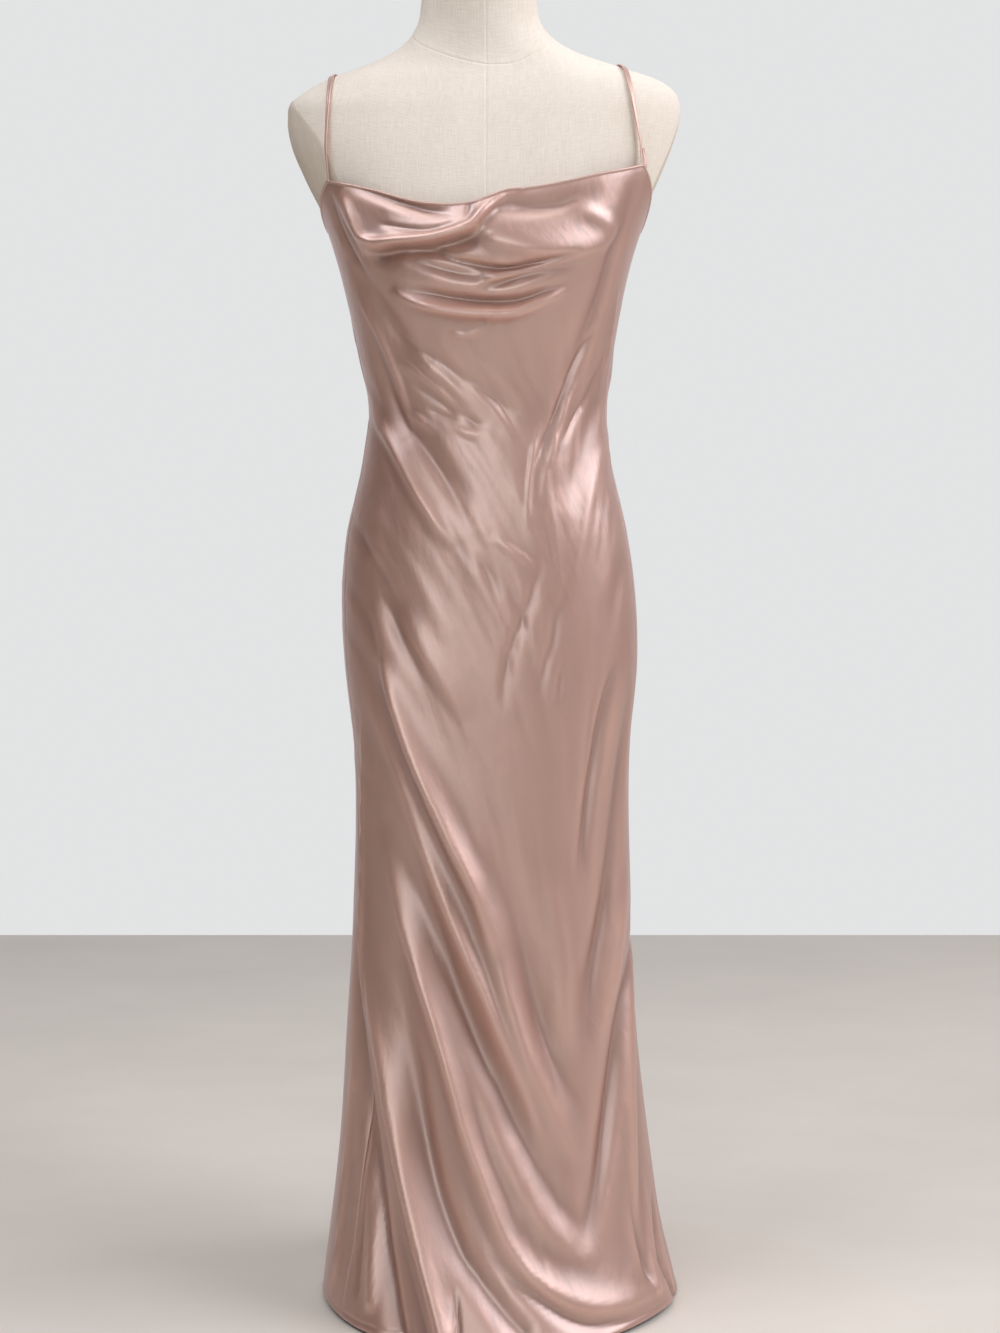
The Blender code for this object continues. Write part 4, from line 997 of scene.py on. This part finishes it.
# side, degrees over the shoulder from the front, lift off the form
LEFT_ROUTE = (
    (-0.1672, 15.0, 0.0050),
    (-0.1668, 40.0, 0.0030),
    (-0.1655, 65.0, 0.0017),
    (-0.1640, 90.0, 0.0016),
    (-0.1600, 115.0, 0.0018),
    (-0.1500, 145.0, 0.0026),
    (-0.1330, 175.0, 0.0030),
    (-0.1160, 197.0, 0.0040),
)
RIGHT_ROUTE = (
    (0.1645, 20.0, 0.0045),
    (0.1595, 42.0, 0.0030),
    (0.1525, 67.0, 0.0020),
    (0.1478, 90.0, 0.0021),
    (0.1440, 115.0, 0.0021),
    (0.1370, 145.0, 0.0024),
    (0.1260, 175.0, 0.0028),
    (0.1140, 197.0, 0.0040),
)
# part of the strap's length, width, degrees that it turns out of the form's surface
STRAP_SHAPE = (
    (0.00, 0.0050, 50.0),
    (0.12, 0.0052, 44.0),
    (0.25, 0.0066, 26.0),
    (0.38, 0.0086, 4.0),
    (0.50, 0.0090, 0.0),
    (0.75, 0.0080, 0.0),
    (1.00, 0.0070, 0.0),
)
# the folded strip's outline from behind, round the front and back: across and outward, in halves
STRAP_OUTLINE = np.array((
    (0.06, -1.00), (0.45, -0.95), (0.80, -0.90), (0.95, -0.65), (1.00, -0.10), (0.96, 0.50),
    (0.82, 0.90), (0.55, 1.00), (0.28, 0.82), (0.12, 0.42), (0.04, 0.25), (-0.06, 0.45),
    (-0.25, 0.85), (-0.55, 1.00), (-0.82, 0.90), (-0.96, 0.50), (-1.00, -0.10), (-0.95, -0.65),
    (-0.80, -0.90), (-0.45, -0.95), (-0.06, -1.00),
))
STRAP_PIVOT = 1.270
# distances from the pivot at which the form's surface is looked for
STRAP_PROBES = np.linspace(0.02, 0.16, 561)
ROUTE_STEPS = 40
STRAP_THICK = 0.0015
STRAP_CLOTH = 0.0003
STRAP_STEPS = 120
STRAP_BEHIND = 0.0010
STRAP_TUCK = 0.004
BACK_STRAP_DEGREES = 132.0


def form_measure(x, y, z):
    """Less than 1 inside the form, 1 on its surface and more outside."""
    half, front, back, squareness, centre = columns_at(FORM_SECTIONS, z)
    depth = np.where(y < 0, front, back)
    return (np.abs(x - centre) / half) ** squareness + (np.abs(y) / depth) ** squareness


def form_outward(point, step=0.0005):
    """The direction straight out of the form at a point near its surface."""
    moves = np.eye(3) * step
    slope = [form_measure(*(point + move)) - form_measure(*(point - move)) for move in moves]
    return np.array(slope) / np.linalg.norm(slope)


def over_shoulder(side, over, lift):
    """A point of a strap's route, found on the form's surface and lifted off it."""
    direction = np.array((0.0, -math.cos(math.radians(over)), math.sin(math.radians(over))))
    pivot = np.array((side, 0.0, STRAP_PIVOT))
    probes = pivot + STRAP_PROBES[:, None] * direction
    surface = probes[form_measure(*probes.T) < 1][-1]
    return surface + form_outward(surface) * lift


def behind_edge(height, degrees, down):
    """A point just behind a panel, some way down from its upper edge."""
    height, degrees = np.array([height - down]), np.array([degrees])
    return (folded_cloth(height, degrees) - cloth_normal(height, degrees) * STRAP_BEHIND)[0]


def travelled_along(points):
    """How far along a line each of its points lies."""
    return np.concatenate(([0], np.cumsum(np.linalg.norm(np.diff(points, axis=0), axis=1))))


def even_steps(points, count):
    """Points at even steps along a line through some points."""
    travelled = travelled_along(points)
    even = np.linspace(0, travelled[-1], count)
    return np.stack([np.interp(even, travelled, points[:, i]) for i in range(3)], -1)


def strap_middles(route, corner, back_degrees):
    """The strap's centre line: from behind each edge straight to the shoulder, close over it."""
    left_seam, right_seam = smooth(SEAMS, UNDERARM_HEIGHT)
    across = (back_degrees % 360 - right_seam) / (left_seam + 360 - right_seam)
    back_top = back_top_height(across)
    numbered = [(i, *row) for i, row in enumerate(route)]
    points = [behind_edge(corner[1], corner[0], STRAP_TUCK), behind_edge(corner[1], corner[0], 0)]
    over = smooth(numbered, np.linspace(0, len(route) - 1, ROUTE_STEPS))
    points += [over_shoulder(*row) for row in over]
    points += [behind_edge(back_top, back_degrees, 0), behind_edge(back_top, back_degrees, STRAP_TUCK)]
    return even_steps(np.array(points), STRAP_STEPS)


def folded_strip(name, middles, shape, side, material):
    """A folded strip along a line, with its width and its turn out of the form's surface."""
    tangents = np.gradient(middles, axis=0)
    tangents /= np.linalg.norm(tangents, axis=-1, keepdims=True)
    cuts = smooth(shape, np.linspace(0, 1, len(middles)))
    rows = []
    for middle, tangent, (width, turn) in zip(middles, tangents, cuts):
        outward = form_outward(middle)
        sideways = np.cross(outward, tangent)
        sideways /= np.linalg.norm(sideways)
        outward = np.cross(tangent, sideways)
        turn = math.radians(turn) * side
        flat = sideways * math.cos(turn) + outward * math.sin(turn)
        proud = outward * math.cos(turn) - sideways * math.sin(turn)
        across, out = STRAP_OUTLINE[:, :1], STRAP_OUTLINE[:, 1:]
        rows.append(middle + flat * width / 2 * across + proud * STRAP_THICK / 2 * out)
    return shell(grid_mesh(name, np.array(rows), False, material), STRAP_CLOTH)


strap_lines = {}
for side_name, side, route, corner in (
    ("left", -1, LEFT_ROUTE, NECKLINE[0]),
    ("right", 1, RIGHT_ROUTE, NECKLINE[-1]),
):
    strap_lines[side_name] = strap_middles(route, corner, side * BACK_STRAP_DEGREES)
    strap = folded_strip("shoulder_strap_" + side_name, strap_lines[side_name], STRAP_SHAPE, side, satin)
    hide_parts("strap_" + side_name)
    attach(strap, "root")


# Turned-back strap end: the right strap's last 18 mm, of the same folded satin, stands up beside it
# at the neckline's corner, where it was turned back and caught down.

END_LENGTH = 0.018
END_ASIDE = (0.0042, 0.0006, 0.0)
END_LEAN = (-0.0022, 0.0, 0.0)
END_FROM_POINTS = 12
END_STEPS = 24
END_SHAPE = (
    (0.00, 0.0046, 20.0),
    (0.60, 0.0044, 10.0),
    (0.90, 0.0036, 5.0),
    (1.00, 0.0022, 5.0),
)

beside = strap_lines["right"][:END_FROM_POINTS] + np.array(END_ASIDE)
lean = np.linspace(0, 1, END_FROM_POINTS)[:, None] * np.array(END_LEAN)
end_line = even_steps((beside + lean)[travelled_along(beside) < END_LENGTH + STRAP_TUCK], END_STEPS)
strap_end = folded_strip("strap_end_right", end_line, END_SHAPE, 1, satin)
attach(strap_end, "root")


# Stitching: silk thread a shade lighter than the satin, in small even stitches that hold the narrow
# turned edges of the neckline, armholes and back, and the hem.

STITCH_SPACING = 0.0031
STITCH_HALF_LENGTH = 0.0011
STITCH_HALF_WIDTH = 0.00016
STITCH_SEED = 3
STITCH_SEGMENTS, STITCH_RINGS = 6, 4
STITCH_LEAST, STITCH_MOST = (0.85, 0.85, 0.88), (1.15, 1.15, 1.06)
TOP_STITCH_ROW = -6
HEM_STITCH_ROW = 4


def thread_finish():
    material, tree, shader = new_material("thread_dusty_rose")
    fill_inputs(tree, shader, {"Base Color": (0.50, 0.34, 0.31, 1), "Roughness": 0.55})
    return material


def stitch_tree(thread):
    """Geometry Nodes that set one stitch after another along a line."""
    tree = bpy.data.node_groups.new("stitches", "GeometryNodeTree")
    for name, direction, kind in (
        ("Lines", "INPUT", "Geometry"),
        ("Spacing", "INPUT", "Float"),
        ("Stitch size", "INPUT", "Vector"),
        ("Seed", "INPUT", "Int"),
        ("Stitches", "OUTPUT", "Geometry"),
    ):
        tree.interface.new_socket(name, in_out=direction, socket_type="NodeSocket" + kind)
    given = add_node(tree, "NodeGroupInput").outputs
    line = add_node(tree, "GeometryNodeMeshToCurve", {"Mesh": given["Lines"]})
    places = add_node(tree, "GeometryNodeCurveToPoints", {
        "Curve": line.outputs["Curve"], "Length": given["Spacing"],
    }, mode="LENGTH")
    stitch = add_node(tree, "GeometryNodeMeshUVSphere", {
        "Segments": STITCH_SEGMENTS, "Rings": STITCH_RINGS,
    })
    sized = add_node(tree, "GeometryNodeTransform", {
        "Geometry": stitch.outputs["Mesh"], "Scale": given["Stitch size"],
    })
    uneven = add_node(tree, "FunctionNodeRandomValue", {
        "Min": STITCH_LEAST, "Max": STITCH_MOST, "Seed": given["Seed"],
    }, data_type="FLOAT_VECTOR")
    placed = add_node(tree, "GeometryNodeInstanceOnPoints", {
        "Points": places.outputs["Points"],
        "Rotation": places.outputs["Rotation"],
        "Instance": sized.outputs["Geometry"],
        "Scale": uneven.outputs["Value"],
    })
    real = add_node(tree, "GeometryNodeRealizeInstances", {"Geometry": placed.outputs["Instances"]})
    dyed = add_node(tree, "GeometryNodeSetMaterial", {
        "Geometry": real.outputs["Geometry"], "Material": thread,
    })
    add_node(tree, "NodeGroupOutput", {"Stitches": dyed.outputs["Geometry"]})
    return tree


stitches = stitch_tree(thread_finish())
stitch_inputs = {
    item.name: item.identifier for item in stitches.interface.items_tree if item.in_out == "INPUT"
}


def stitch_along(name, lines):
    """Stitches along lines of points, as one plain mesh."""
    mesh = bpy.data.meshes.new(name)
    starts = np.cumsum([0] + [len(line) for line in lines])
    edges = [
        (i, i + 1) for start, line in zip(starts, lines) for i in range(start, start + len(line) - 1)
    ]
    mesh.from_pydata(np.concatenate(lines).tolist(), edges, [])
    piece = in_scene(name, mesh)
    sewing = piece.modifiers.new("sewing", "NODES")
    sewing.node_group = stitches
    sewing[stitch_inputs["Spacing"]] = STITCH_SPACING
    sewing[stitch_inputs["Stitch size"]] = (STITCH_HALF_WIDTH, STITCH_HALF_WIDTH, STITCH_HALF_LENGTH)
    sewing[stitch_inputs["Seed"]] = STITCH_SEED
    finish_modifiers(piece).data.shade_smooth()
    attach(piece, "root")
    return piece


sewn = {
    side_name: stitch_along(side_name + "_stitches", [points[TOP_STITCH_ROW], points[HEM_STITCH_ROW]])
    for side_name, points in panel_points.items()
}
